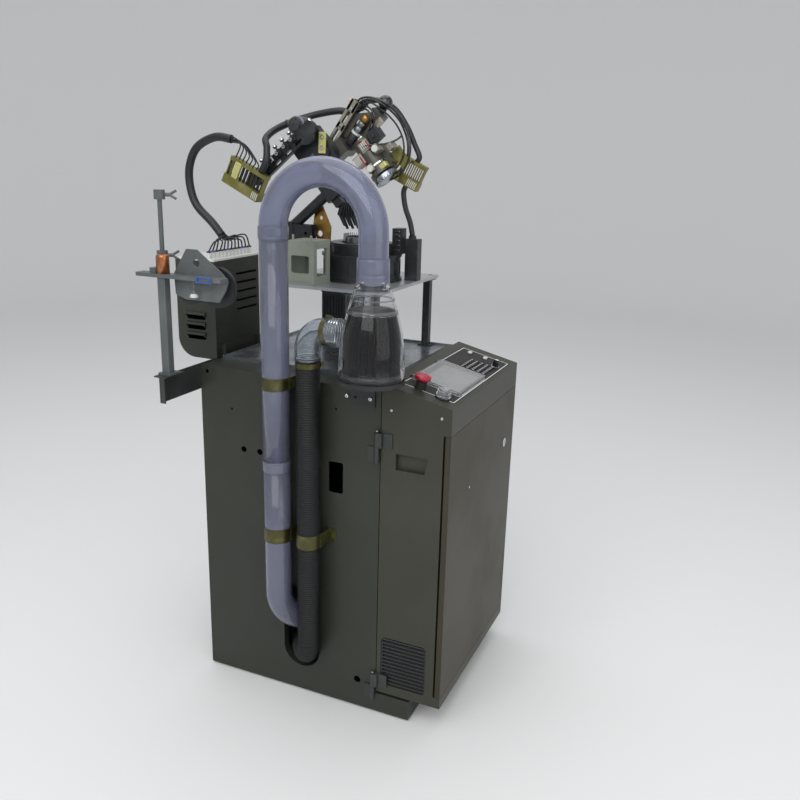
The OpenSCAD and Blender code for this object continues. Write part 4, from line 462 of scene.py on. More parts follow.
# %% Castings, steels, zinc, brass and copper
casting = finish_of("dark casting", "#26282b", "#3b3d40", (0.32, 0.55), metal=0.25, bump=0.22,
                    peel_scale=150, patch=(14, 0.5, 0.72))
grey_casting = finish_of("grey casting", "#504e48", "#6e6c65", (0.34, 0.52), metal=0.35, bump=0.2,
                         peel_scale=170, patch=(14, 0.5, 0.7))
table_steel = finish_of("table steel", "#b9bdc0", "#a4a9ad", (0.30, 0.44), metal=0.7, bump=0.025,
                        lines=(9, 900, 9), patch=(7, 0.5, 0.7))
tray_steel = finish_of("tray steel", "#a3a8ac", "#868b8f", (0.26, 0.46), metal=0.9, bump=0.03,
                       lines=(700, 12, 12), patch=(9, 0.46, 0.66))
ground_steel = finish_of("ground steel", "#9a9fa4", "#7b8085", (0.22, 0.4), metal=1.0, bump=0.03,
                         lines=(30, 30, 900))
bright_metal = finish_of("bright plating", "#c9ccd0", "#b0b4b8", (0.12, 0.26), metal=1.0, bump=0.02)
band_steel = finish_of("yellow zinc", "#4f4d2e", "#6c6a46", (0.3, 0.5), metal=0.75, bump=0.06,
                       patch=(30, 0.45, 0.7))
olive_zinc = finish_of("olive zinc", "#7b773f", "#918d5a", (0.3, 0.48), metal=0.6, bump=0.06,
                       patch=(30, 0.45, 0.7))
brass = finish_of("worn brass", "#b08c48", "#86693c", (0.25, 0.48), metal=0.95, bump=0.08,
                  patch=(22, 0.45, 0.65))
copper = finish_of("copper", "#b5764f", "#8f6048", (0.28, 0.45), metal=0.9, bump=0.06,
                   patch=(26, 0.45, 0.65))
print("ten metals")

# %% [markdown]
# ## Rubber, plastic, cloth, foil and clear walls
# The hoses are matte, the keys' foil is duller than the panel round it, and the red button shines.
# Each gets its own numbers rather than one black for all, because the eye tells such blacks apart
# by their highlights. The five clear walls differ in tint: the sock tube is milky and bluish, the
# jar almost colourless.

# %% Rubber, plastics and clear walls
rubber = finish_of("hose rubber", "#101112", "#1c1d1f", (0.5, 0.7), bump=0.12, peel_scale=300, specular=0.35)
black_plastic = finish_of("black plastic", "#1d1e20", "#27282a", (0.42, 0.55), bump=0.12, peel_scale=700)
black_gloss = finish_of("black gloss", "#101112", "#191a1b", (0.12, 0.25), bump=0.02, coat=0.6)
panel_face = finish_of("panel foil", "#2b2827", "#32302e", (0.46, 0.54), bump=0.05, peel_scale=900,
                       specular=0.25)
key_foil = finish_of("key foil", "#242120", "#2a2726", (0.5, 0.6), bump=0.03, peel_scale=900, specular=0.15)
white_plastic = finish_of("white plastic", "#d9dad6", "#cbccc8", (0.32, 0.42), bump=0.03)
red_plastic = finish_of("red plastic", "#a81432", "#96122c", (0.18, 0.28), bump=0.01, coat=0.4)
blue_plastic = finish_of("blue plastic", "#2f62b5", "#2a55a0", (0.3, 0.4), bump=0.02)
filter_cloth = finish_of("filter cloth", "#0b0b0c", "#131315", (0.75, 0.9), bump=0.3, peel_scale=900,
                         specular=0.08)
pale_line = finish_of("pale print", "#f3f5f5", "#e9ecec", (0.4, 0.5), bump=0.0)
screen_face = finish_of("screen", "#b9b3b0", "#8f8a88", (0.12, 0.2), bump=0.0, patch=(9, 0.44, 0.66),
                        fine=0.0, coat=0.5)
clear_tube = clear("clear tube", "#b2b6cc", rough=0.05, plain=0.22)
clear_jar = clear("clear jar", "#f4f5f7", rough=0.015, plain=0.006, ior=1.27)
clear_lid = clear("clear lid", "#eeeff0", rough=0.05, plain=0.10)
clear_knob = clear("clear knob", "#eceeef", rough=0.04, plain=0.08)
clear_elbow = clear("clear elbow", "#dde2e7", rough=0.03, plain=0.04, ior=1.33)
print("eleven plastics and five clear walls")

# %% [markdown]
# ## Which part gets which finish
# The parts keep the shapes of the CAD model, so they only need their material. A list by part
# name is longer than a rule by colour, but it can be read and changed part by part.

# %% The finishes by part
finishes = {
    "base_body": base_paint, "levelling_feet": black_plastic, "oil_tray": tray_steel, "table_posts": casting,
    "work_table": table_steel, "sock_tube_arch": clear_tube, "sock_tube_leg": clear_tube,
    "sock_tube_bend": clear_tube, "pipe_clamps": band_steel, "suction_hose": rubber, "jar_elbow": clear_elbow,
    "collector_jar": clear_jar, "collector_filter": filter_cloth, "collector_base": black_plastic,
    "take_down_hose": rubber, "down_pipe": ground_steel, "suction_fan": motor_black,
    "fan_impeller": ground_steel, "valve_box": base_paint, "valve_fittings": white_plastic,
    "valve_tubes": black_plastic, "conduits": black_plastic, "support_arm": dark_paint,
    "feeder_posts": grey_paint, "feeder_plate": grey_paint, "feeder_drum_rear": black_plastic,
    "feeder_drum_front": black_plastic, "bracket_column": cream_paint, "cam_box": casting,
    "needle_cylinder": ground_steel, "needle_set": bright_metal, "dial": ground_steel, "guide_arm": casting,
    "servo_motor": motor_black, "motor_pulley": ground_steel, "drive_belt": rubber, "head_arm": casting,
    "head_casting": casting, "head_motor": motor_black, "front_castings": grey_casting,
    "manifolds": olive_zinc, "yarn_fingers": casting, "brass_lever": brass, "ball_handle": black_gloss,
    "hinge_base_halves": dark_paint, "hinge_cabinet_halves": dark_paint, "cabinet_shell": cabinet_paint,
    "cabinet_door": door_paint, "door_lock": bright_metal, "air_filter": black_plastic,
    "control_unit": grey_paint, "console_panel": panel_face, "screen": screen_face, "screen_cover": clear_lid,
    "keypad": key_foil, "start_button": white_plastic, "stop_button": white_plastic,
    "estop_button": red_plastic, "speed_knob": black_gloss, "selector_knob": clear_knob,
}
for name, finish in finishes.items():
    for place_of in nodes[name].material_slots:
        place_of.material = finish
print("finishes on", len(finishes), "parts")

# %% [markdown]
# ## The sock tube
# The real tube is milky plastic, bluish lilac, and its wall shows as a paler rim. It is three
# pieces pushed into each other. A solid rod with a clear material would bend the view like a
# lens, so each piece is a circle carried along a line and back along the inside, and light
# passes two real walls. The mouths at the joints are turned outlines with round lips.

# %% Dress a piece, and the tube's measures
TUBE_X, LEG_Y, JAR_Y, HOSE_Y = -45, 437, 183, 348
TUBE_R, TUBE_BORE, TUBE_SIDES = 33.5, 30.5, 48
ARCH_R, BEND_R = 127, 100
UP, DOWN = (0, 0, 1), (0, 0, -1)


def dressed(piece, finish, body, node=None):
    """Gives a piece its finish, lets it ride on a body and, where named, stand for a CAD node."""
    piece.data.materials.clear()
    piece.data.materials.append(finish)
    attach(piece, body)
    if node:
        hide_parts(*([node] if isinstance(node, str) else node))
    return piece


def tube_wall(line, node, first, last, side=(1, 0, 0)):
    """One piece of the sock tube in place of its CAD node: a wall along a line."""
    wall = tube(node + "_wall", place(line), TUBE_R / 1000, TUBE_SIDES, side, first, last, TUBE_BORE / 1000)
    return dressed(wall, clear_tube, "machine", node)


def bell(name, z, node):
    """The widened mouth at a joint: a ledge below, a short cone, then a sleeve with a round lip."""
    wall = [(TUBE_BORE, z - 4), (TUBE_R, z - 4), (35.2, z - 1.5), (35.6, z + 1), (35.6, z + 24),
            (35.3, z + 25.8), (34.4, z + 26), (33.6, z + 25.2), (33.6, z), (TUBE_BORE, z)]
    return dressed(turned(name, wall, (TUBE_X, LEG_Y, 0)), clear_tube, "machine", node)


print("wall thickness", TUBE_R - TUBE_BORE, "mm")

# %% [markdown]
# The three pieces follow simple lines: a half circle with straight ends over the top, a straight
# leg, and a leg that ends in a quarter circle off to the side. A curve object with a bevel could
# carry them, but its wall and its ends are harder to set to the millimetre. A sleeve round the
# jar's neck belongs to the top piece.

# %% Walls of the sock tube
half_turn = np.linspace(0, np.pi, 49)
arch_line = np.stack([np.full(49, float(TUBE_X)), (LEG_Y + JAR_Y) / 2 + ARCH_R * np.cos(half_turn),
                      1236 + ARCH_R * np.sin(half_turn)], -1)
arch_line = np.concatenate([[[TUBE_X, LEG_Y, 1214.2], [TUBE_X, LEG_Y, 1225]], arch_line,
                            [[TUBE_X, JAR_Y, 1190], [TUBE_X, JAR_Y, 1150.2]]])
tube_wall(arch_line, "sock_tube_arch", UP, DOWN)
neck_sleeve = [(33.7, 1131.3), (36.6, 1131.3), (36.9, 1133), (36.7, 1160), (36.4, 1182), (35.6, 1184.6),
               (34.2, 1185), (33.7, 1183)]
dressed(turned("jar_neck_sleeve", neck_sleeve, (TUBE_X, JAR_Y, 0)), clear_tube, "machine", "sock_tube_arch")
tube_wall([[TUBE_X, LEG_Y, z] for z in (650.2, 930, 1209.8)], "sock_tube_leg", UP, UP)
bell("leg_top_bell", 1214, "sock_tube_leg")
quarter = np.linspace(0, np.pi / 2, 25)
in_x, in_y = math.cos(math.radians(-30)), math.sin(math.radians(-30))
reach = BEND_R * (1 - np.cos(quarter))
bend_line = np.stack([TUBE_X + in_x * reach, LEG_Y + in_y * reach, 315 - BEND_R * np.sin(quarter)], -1)
bend_line = np.concatenate([[[TUBE_X, LEG_Y, 645.8], [TUBE_X, LEG_Y, 480]], bend_line])
tube_wall(bend_line, "sock_tube_bend", DOWN, (in_x, in_y, 0), (-in_y, in_x, 0))
bell("bend_top_bell", 650, "sock_tube_bend")
print("arch reaches:", [round(x, 3) for x in np.ptp(place(arch_line), axis=0)])

# %% [markdown]
# ## The collector jar
# A clear blown jar: a neck, a long shoulder that swells like a bell, a straight foot with a
# rolled rim, and raised beads round the shoulder. A drawn curve could give the outline, but a
# quarter of a sine wave matches the blown swell with two radii and a height, and the same
# function then places the beads and the filter. The jar is that outline turned about its axis.

# %% Jar wall and its beads
JAR = (TUBE_X, JAR_Y, 0)
NECK_R, JAR_R, SHOULDER_Z, SWELL_H, JAR_WALL = 37, 74.5, 1131, 181, 2.4


def jar_radius(z):
    """The jar's outside at a height: the neck's radius, then a quarter sine wave down to the foot's."""
    return NECK_R + (JAR_R - NECK_R) * np.sin(np.pi / 2 * (SHOULDER_Z - z) / SWELL_H)


drop = np.linspace(0, 1, 24)
swell = jar_radius(SHOULDER_Z - SWELL_H * drop)
outer_side = np.stack([swell, SHOULDER_Z - SWELL_H * drop], -1)
inner_side = np.stack([swell - JAR_WALL, 1129 - 178 * drop], -1)[::-1]
jar_outer = np.concatenate([[[33.4, 1150], [33.6, 1133]], outer_side,
                            [[JAR_R, 924], [75.8, 921.5], [76.0, 917], [75.2, 915.2]]])
jar_inner = np.concatenate([[[72.2, 915.2], [72.0, 950]], inner_side[1:-1], [[30.6, 1124], [30.5, 1149.6]]])
jar = turned("collector_jar_wall", np.concatenate([jar_outer, jar_inner]), JAR, 96)
dressed(jar, clear_jar, "machine", "collector_jar")
for k, z in enumerate((1096.0, 1071.0, 1066.0)):
    r = jar_radius(z)
    bead = [(r + 0.2, z - 1.7), (r + 1.2, z), (r - 0.6, z + 1.7), (r - 1.8, z)]
    dressed(turned(f"jar_bead_{k}", bead, JAR, 96), clear_jar, "machine")
print("jar radius at the beads:", [round(float(jar_radius(z)), 1) for z in (1096, 1071, 1066)], "mm")

# %% [markdown]
# ## The pleated filter
# Inside the jar stands a black pleated filter that follows the jar's swell, so it is narrower at
# the top. Folding a flat strip in a simulation would give true pleats slowly. A star-shaped grid
# gives them at once: the radius swings between valley and crest as the angle turns.

# %% Pleats and caps
PLEATS, PLEAT_DEPTH, WIDEST, GAP = 36, 3.4, 61.5, 8.5
pleat_a = np.linspace(0, 2 * np.pi, 12 * PLEATS, endpoint=False)
levels = np.concatenate([[929.5], np.linspace(930.5, 1064, 18), [1065]])
mean_r = np.minimum(WIDEST, jar_radius(levels) - GAP) - 1.0 * np.isin(levels, (929.5, 1065))
body_r = mean_r[:, None] + PLEAT_DEPTH * np.cos(PLEATS * pleat_a)
pleats = np.stack([TUBE_X + body_r * np.cos(pleat_a), JAR_Y + body_r * np.sin(pleat_a),
                   levels[:, None] + 0 * body_r], -1)
filter_body = outward(skin("filter_pleats", place(pleats), wrap_v=True, smooth=False, ends=True))
dressed(filter_body, filter_cloth, "machine", "collector_filter")
foot_cap = [(0.2, 0), (66, 0), (66, 12.6), (65, 13.6), (0.2, 13.6)]
top_cap = [(0.2, 0), (51, 0), (52.4, 1), (52.2, 4.6), (51.2, 5.8), (49, 6.2), (47, 4.4), (0.2, 4.4)]
for k, (z, cap) in enumerate([(915.6, foot_cap), (1065.2, top_cap)]):
    dressed(turned(f"filter_cap_{k}", cap, (TUBE_X, JAR_Y, z), 72), black_plastic, "machine",
            "collector_filter")
print("filter:", len(filter_body.data.polygons), "faces")

# %% [markdown]
# ## Hoses and cables
# Every hose, conduit and air tube follows one soft curve through the same points as in CAD, and
# rides on the machine's body. A hose could be left to hang by gravity, but these are held at both
# ends and stiff, so their line is known. The curve is even in its steps, because ribs that follow
# it must keep their pitch.

# %% Soft lines and their lengths
CURVE_STEPS = 24


def run_along(path):
    """Length from a path's start to each of its points: the steps added up one by one."""
    return np.concatenate([[0], np.cumsum(np.linalg.norm(np.diff(path, axis=0), axis=1))])


def soft_line(points, step=4.0):
    """Catmull-Rom curve through points, then even steps along it by interpolation of its length."""
    p = np.asarray(points, float)
    p = np.concatenate([[2 * p[0] - p[1]], p, [2 * p[-1] - p[-2]]])
    t = np.linspace(0, 1, CURVE_STEPS, endpoint=False)[None, :, None]
    a, b, c, d = (p[k:len(p) - 3 + k][:, None] for k in range(4))
    curve = 0.5 * (2 * b + t * (c - a) + t**2 * (2 * a - 5 * b + 4 * c - d) + t**3 * (3 * b - a - 3 * c + d))
    curve = np.concatenate([curve.reshape(-1, 3), p[-2:-1]])
    run = run_along(curve)
    even = np.linspace(0, run[-1], max(8, int(run[-1] / step) + 1))
    return np.stack([np.interp(even, run, curve[:, k]) for k in range(3)], -1)


def length_of(path):
    """Sum of the steps along a path."""
    return float(np.linalg.norm(np.diff(path, axis=0), axis=1).sum())


RIB_DEPTH, RIB_FLAT = 0.85, 1.35


def cable(name, points, diameter, finish, node, sides=16, ribs=None,
          step=4.0):
    """A cord along a soft line through corner-frame points; ribs is the pitch of its clipped waves."""
    line = place(soft_line(points, step))
    radius = diameter / 2000
    if ribs:
        wave = np.clip(RIB_FLAT * np.cos(2 * np.pi * run_along(line) * 1000 / ribs), -1, 1)
        radius = (diameter / 2 - RIB_DEPTH + RIB_DEPTH * wave) / 1000
    side = (0, 0, 1) if abs(np.diff(line, axis=0)[:, 2]).sum() < 0.3 * length_of(line) else (1, 0, 0)
    piece = tube(name, line, radius, sides, side=side)
    dressed(piece, finish, "machine", node)
    return piece


print("a straight test line keeps its length:", length_of(soft_line([[0, 0, 0], [50, 0, 0], [100, 0, 0]])))

# %% [markdown]
# ## The suction hose
# The thick hose leads air from the jar down and round to the fan. It is ribbed rubber, so its
# radius rises and falls every six millimetres. Separate rings on a smooth tube would show hard
# joints in the bends; ribs that are part of the tube's own radius bend with it. The line is a
# straight fall, a quarter turn to level, then a small turn sideways.

# %% The ribbed suction hose
HOSE_R, HOSE_D, RIB_PITCH = 90, 59, 6.0
q = np.linspace(0, np.pi / 2, 13)[1:]
turn = math.radians(40)
reach = HOSE_R * (1 - np.cos(q))
to_level = np.stack([TUBE_X + math.cos(turn) * reach, HOSE_Y + math.sin(turn) * reach,
                     210 - HOSE_R * np.sin(q)], -1)
w = np.linspace(turn, 0, 7)[1:]
sideways = np.stack([to_level[-1, 0] + HOSE_R * (math.sin(turn) - np.sin(w)),
                     to_level[-1, 1] + HOSE_R * (np.cos(w) - math.cos(turn)), np.full(6, 120.0)], -1)
fall = [[TUBE_X, HOSE_Y, z] for z in (936.8, 700, 450, 210)]
hose = cable("suction_hose_ribbed", np.concatenate([fall, to_level, sideways]), HOSE_D, rubber, "suction_hose",
             sides=40, ribs=RIB_PITCH, step=1.0)
print("hose:", len(hose.data.polygons), "faces")

# %% [markdown]
# ## Conduits
# Four stiff black conduits carry the bundled air tubes: from the valve box up behind the arm,
# from the rear manifold over the head to a coupling, on in a loop to the front manifold, and from
# there down. The manifolds lean by twenty-six degrees, so a conduit's end at one is given in the
# manifold's own frame. That is safer than working out the leaning place by hand.

# %% Conduits and their coupling
LEAN = math.radians(26)
on_rear_manifold = turned_frame(LEAN, 628, 1276)
on_front_manifold = turned_frame(LEAN, 262, 1312)
routes = {
    "conduit_rear_cord": ([[205, 757, 1183], [205, 787, 1215], [205, 836, 1259], [205, 855, 1310],
                           [205, 853, 1363], [205, 826, 1410], [205, 768, 1436], [205, 716, 1432]], 22),
    "conduit_top_cord": ([on_rear_manifold([191, 24, 72]), [192, 604, 1380], [200, 606, 1412],
                          [224, 622, 1438], [277, 610, 1467], [314, 545, 1495], [325, 470, 1509],
                          [330, 430, 1506], [330, 406, 1517]], 18),
    "conduit_loop_cord": ([[330, 392, 1529], [340, 378, 1536], [362, 354, 1534], [372, 322, 1513],
                           [376, 292, 1472], [378, 272, 1432], [378, 257, 1401],
                           on_front_manifold([378, 34, 68])], 14),
    "conduit_down_cord": ([on_front_manifold([378, 34, 0]), [378, 299, 1308], [379, 293, 1270],
                           [381, 279, 1232], [381, 271, 1198]], 14),
}
for name, (points, d) in routes.items():
    cable(name, points, d, black_plastic, "conduits")
joint_line = on_head([[330, y, 126] for y in (-168, -169, -172, -179, -186, -189, -190)])
joint_r = np.array([9.6, 11.2, 11.5, 11.0, 11.5, 11.2, 9.6])
dressed(tube("conduit_coupling", place(joint_line), joint_r / 1000, 24), black_gloss, "machine", "conduits")
print("conduits:", len(routes))

# %% [markdown]
# ## Fans of thin tubes
# Where a conduit ends, its thin tubes spread: seven to the rear manifold's fittings, twelve from
# the valve box's fittings into the conduit. Each could be drawn by hand. Here each starts at its
# fitting, ends at its own place in the bundle, and has middle points worked out from the two, so
# the fan opens evenly.

# %% Tubes at the rear manifold and at the valve box
WAY_PITCH, BUNDLE_PITCH = 11.2, 5
down = np.array([0, math.sin(LEAN), -math.cos(LEAN)])
for k in range(7):
    foot = on_rear_manifold([191, 2 + WAY_PITCH * (k + 3.5), 72])
    row, rank = divmod(k, 3)
    top = np.array([205 + 4.6 * (rank - 1), 717, 1432.2]) + np.array([0, 0.9, -4.6]) * (1 - row + 0.3 * rank)
    cable(f"fan_tube_{k}", [foot, foot - (14 + 3 * k) * down, top + [0, -16 - 5 * (6 - k), -3 - (6 - k)], top],
          3.6, black_plastic, "conduits", sides=8)
heading_up, square_to_it = np.array([0, 0.685, 0.728]), np.array([0, -0.728, 0.685])
for k in range(12):
    row, rank = divmod(k, 3)
    a = np.array([102 + k * 187 / 11, 726, 1150.0])
    b = np.array([205, 757, 1183]) + [(row - 1.5) * BUNDLE_PITCH, 0, 0] + (rank - 1) * BUNDLE_PITCH * square_to_it
    across, lift = b[0] - a[0], 26 + 7 * rank
    cable(f"air_tube_{k}", [a, [a[0] + 0.25 * across, 727, 1150 + lift * 0.8],
                            b - 12 * heading_up - [0.18 * across, 0, 0], b],
          4.0, black_plastic, "valve_tubes", sides=8)
print("thin tubes: 7 and 12")

# %% [markdown]
# ## The elbow
# A clear blown elbow joins the jar's port to the hose. At the union it has ribs, where the wall
# swells and narrows again. Bending a finished pipe would squeeze its inner side, so the elbow is
# one wall carried round a quarter turn, and the ribs are a wave in its radius.

# %% Elbow wall, its ribs and its spigot
ELBOW_R, UNION_Z, UNION_PITCH = 45, 1010, 6.5
q = np.linspace(0, np.pi / 2, 21)
elbow_line = np.concatenate([
    [[TUBE_X, HOSE_Y, 937.2], [TUBE_X, HOSE_Y, 950]],
    np.stack([np.full(21, float(TUBE_X)), 303 + ELBOW_R * np.cos(q), 965 + ELBOW_R * np.sin(q)], -1),
    np.stack([np.full(60, float(TUBE_X)), np.linspace(302, 262.3, 60), np.full(60, float(UNION_Z))], -1)])
y = elbow_line[:, 1]
at_union = (y < 296) & (elbow_line[:, 2] > UNION_Z - 5)
wave = np.where(at_union, np.clip(np.cos(2 * np.pi * (y - 264.2) / UNION_PITCH), -0.35, 1), -0.35)
elbow = tube("jar_elbow_wall", place(elbow_line), (31 + 0.7 + 2.0 * wave) / 1000, 48, bore=0.028,
             first=UP, last=(0, -1, 0))
dressed(elbow, clear_elbow, "machine", "jar_elbow")
spigot = [(26.0, 913.2), (23.2, 913.2), (23.2, 938), (28, 945), (30.6, 945), (30.6, 937.3), (26.0, 937.0)]
dressed(turned("elbow_spigot", spigot, (TUBE_X, HOSE_Y, 0)), clear_elbow, "machine", "jar_elbow")
print("elbow:", len(elbow.data.polygons), "faces")

# %% [markdown]
# ## The console's printed lines
# The faceplate is a printed foil: a thin pale line runs round it, a dotted line of slots lies
# near its front edge, and each key has its own pale outline. A picture on the foil would be
# simplest, but it blurs close up. Such a line is a closed loop with a flat cross-section about
# a fifth of a millimetre high, and all thirty key outlines are one mesh: the same loop,
# repeated by adding an array of places.

# %% Loops on the panel


def round_rect(x0, s0, x1, s1, r, n=6):
    """Corner arcs of a rectangle one after another: centre plus r times (cos, sin) of the angle."""
    a = np.linspace(0, np.pi / 2, n)
    centres = np.array([[x1 - r, s1 - r], [x0 + r, s1 - r], [x0 + r, s0 + r], [x1 - r, s0 + r]])
    angle = (a[None] + np.arange(4)[:, None] * np.pi / 2)
    return np.stack([centres[:, :1] + r * np.cos(angle), centres[:, 1:] + r * np.sin(angle)], -1).reshape(-1, 2)


def loop_band(loop, width, low, high):
    """Cross-section of four corners carried round a flat loop: inwards by width, from low to high."""
    t = np.roll(loop, -1, 0) - np.roll(loop, 1, 0)
    n = np.stack([-t[:, 1], t[:, 0]], -1) / np.linalg.norm(t, axis=1, keepdims=True)
    rows = [(0, low), (0, high), (width, high), (width, low)]
    return np.stack([np.concatenate([loop + k * n, np.full((len(loop), 1), z)], -1) for k, z in rows], 1)


def many(name, grids, to, wrap_v):
    """Grids of equal size in one mesh: the faces of one, their point numbers shifted for each."""
    grids = np.asarray(grids, float)
    k, nu, nv = grids.shape[:3]
    shifts = (np.arange(k) * nu * nv)[:, None, None]
    faces = (grid_faces(nu, nv, True, wrap_v)[None] + shifts).reshape(-1, 4)
    return outward(new_piece(name, place(to(grids)), faces.tolist(), smooth=False))


def printed(name, bands):
    """Pale lines on the console: each band is closed along its loop and round its section."""
    return dressed(many(name, bands, on_console, True), pale_line, "cabinet")


def repeated(band, x, s):
    """One band at every place of the arrays x and s."""
    return band[None] + np.stack([x, s, 0 * x], -1)[:, None, None]


outline = loop_band(round_rect(45.5, 14.5, 480.5, 150.5, 3), 1.9, 0.0, 0.22)
inner_line = loop_band(round_rect(96.5, 19.5, 292.5, 149.6, 2), 0.9, 0.0, 0.2)
printed("panel_lines", [outline, inner_line])
key_loop = loop_band(round_rect(2.2, 3.2, 9.8, 8.0, 1.2), 0.8, 2.0, 2.18)
keys_x, keys_s = np.meshgrid(np.arange(6) * 15.0 + 316.5, np.arange(5) * 15.0 + 30.5, indexing="ij")
printed("key_outlines", repeated(key_loop, keys_x.ravel(), keys_s.ravel()))
dot = loop_band(round_rect(0, 0, 4.4, 1.6, 0.6, 3), 0.6, 0.0, 0.2)
printed("panel_dots", repeated(dot, 112 + 8.2 * np.arange(21), np.full(21, 17.2)))
print("key outlines:", keys_x.size)

# %% [markdown]
# ## Buttons and knobs
# Fingers press the red mushroom and turn the knobs, so their edges are round and a little
# glossy. The CAD shape of the red button is replaced by a softer outline turned about the
# panel's normal. The other knobs keep their CAD shape and only get a ring or a cap on top.

# %% What sits on top of the panel's CAD shapes
ESTOP_AT, SPEED_AT, SELECTOR_AT = (57, 107), (420, 34), (50, 45)


def turned_on_panel(name, profile, at, finish, body, node=None, sides=48):
    """A closed profile of (radius, height) turned about the panel's normal at a place."""
    return dressed(turned(name, profile, (*at, 0), sides, to=on_console), finish, body, node)


stop_cap = [(0.1, 24.2), (17.4, 24.2), (19.2, 25.0), (20, 26.8), (20, 30.4), (19.2, 32.4), (16.8, 34.3),
            (12, 35.6), (6, 35.95), (0.1, 36)]
stem = [(0.1, -8), (9, -8), (9, 24.1), (0.1, 24.1)]
knob_cap = [(0.1, 18.2), (5.6, 18.2), (5.6, 18.55), (5.2, 18.8), (0.1, 18.8)]
knob_ring = [(9.6, 0.02), (11.4, 0.02), (11.4, 0.6), (9.6, 0.6)]
selector_ring = [(15.4, 0.02), (18.6, 0.02), (18.6, 3.0), (17.8, 3.6), (15.4, 3.6)]
turned_on_panel("red_mushroom", stop_cap, ESTOP_AT, red_plastic, "estop", "estop_button", 64)
turned_on_panel("red_stem", stem, ESTOP_AT, red_plastic, "estop", "estop_button")
turned_on_panel("knob_cap", knob_cap, SPEED_AT, white_plastic, "speed")
turned_on_panel("knob_ring", knob_ring, SPEED_AT, bright_metal, "cabinet")
turned_on_panel("selector_ring", selector_ring, SELECTOR_AT, black_plastic, "cabinet")
print("buttons made")

# %% [markdown]
# ## Small fittings
# The eye checks a machine by its small bright things: screw heads, hinge pin tips, the copper
# cap of the yarn feeder, the rings of the push-in air fittings. A screw could be a plain disc,
# but a low dome with a recess catches the light as a real one does. Each is a profile turned
# about its own axis, so edges are round where fingers or tools touch.

# %% Screw heads, pin tips and caps


def screw_head(name, at, axis, radius, height, body, finish=bright_metal, socket=True):
    """A low dome with a round recess; the profile goes up the rim, over the dome and down the recess."""
    d = 0.42 * radius if socket else 0.02
    h = height
    rim = [(0.01, 0), (radius, 0), (radius, 0.45 * h), (0.9 * radius, 0.8 * h), (0.6 * radius, h),
           (d + 0.05 * radius, h)]
    rim += [(d, 0.95 * h), (0.92 * d, 0.35 * h), (0.01, 0.35 * h)] if socket else [(0.01, h)]
    sign = -1 if axis.startswith("-") else 1
    profile = np.array(rim, float) * [1, sign]
    return dressed(turned(name, profile, at, 20, axis.strip("-")), finish, body)


for k, (y, z) in enumerate([(151, 831), (25, 829)]):
    screw_head(f"cabinet_screw_{k}", (0.02, y, z), "-x", 3.6, 1.8, "cabinet")
screw_head("door_screw", (147, -0.02, 614), "-y", 3.4, 1.6, "door")
for k, z in enumerate((123, 777)):
    screw_head(f"hinge_pin_tip_{k}", (-7, 184, z - 0.1), "z", 3.9, 2.2, "machine", socket=False)
for k, y in enumerate((204, 266)):
    screw_head(f"jar_bracket_bolt_{k}", (-5.02, y, 852), "-x", 5.2, 3.4, "machine")
for k, y in enumerate((387.6, 486.4)):
    screw_head(f"band_bolt_{k}", (-1.9, y, 865), "-x", 4.6, 3.0, "machine")
screw_head("band_bolt_low", (-1.9, 486.4, 470), "-x", 4.6, 3.0, "machine")
for k, (x, y) in enumerate([(180, 266), (508, 266), (180, 572)]):
    screw_head(f"table_bolt_{k}", (x, y, 1080.02), "z", 6.0, 2.2, "machine", ground_steel)
fitting_ring = [(4.7, 1147.2), (5.9, 1147.2), (6.1, 1148.6), (5.7, 1150.4), (4.7, 1150.6)]
for k in range(12):
    dressed(turned(f"fitting_ring_{k}", fitting_ring, (102 + 17 * k, 726, 0), 24),
            blue_plastic if k % 4 == 1 else black_plastic, "machine")
cap = [(0.1, 1122.05), (15.4, 1122.05), (15.4, 1160), (14.8, 1163.6), (12.4, 1166), (0.1, 1166.4)]
dressed(turned("copper_cap", cap, (-125, 690, 0), 48), copper, "machine")
print("small fittings made")

# %% [markdown]
# ## Trim of the feeder and the tray
# The yarn runs through a small white funnel and past a blue clip, and a black strip lines the
# tray's edge. The funnel is turned. The clip is a plate with a hole. Cutting the hole would leave
# sharp, uneven faces, so the clip is a rounded loop taken four times: outside at both faces, then
# inside at both faces. The strip is its section of six corners at each of its two ends.

# %% Funnel, clip and strip
funnel = [(2.1, 1086.5), (4.6, 1087), (5.2, 1083.5), (8.8, 1079), (10, 1073.5), (8.2, 1073.2), (6.4, 1078),
          (2.6, 1083)]
dressed(turned("thread_funnel", funnel, (-129, 601, 0), 32), white_plastic, "machine")
clip_middle, clip_hole = [562, 1117.6], [0.82, 0.6]
clip_loop = round_rect(541, 1110.6, 583, 1124.6, 3)
clip_hole_loop = (clip_loop - clip_middle) * clip_hole + clip_middle
clip_walk = [(clip_loop, -144.5), (clip_loop, -146.4), (clip_hole_loop, -146.4), (clip_hole_loop, -144.5)]
clip_grid = np.stack([np.concatenate([np.full((len(loop), 1), x), loop], 1) for loop, x in clip_walk], 1)
dressed(outward(skin("blue_clip", place(clip_grid), wrap_u=True, wrap_v=True)), blue_plastic, "machine")
strip_section = [(190.1, 877.2), (190.1, 884.6), (202.6, 884.6), (202.6, 884.2), (190.8, 884.2), (190.8, 877.2)]
strip_grid = np.array([[(x, y, z) for y, z in strip_section] for x in (84, 516)], float)
strip = skin("tray_edge_strip", place(strip_grid), wrap_v=True, smooth=False, ends=True)
dressed(outward(strip), black_plastic, "machine")
print("clip:", len(clip_grid), "points round; strip:", round(float(np.ptp(strip_grid[..., 0]))), "mm long")

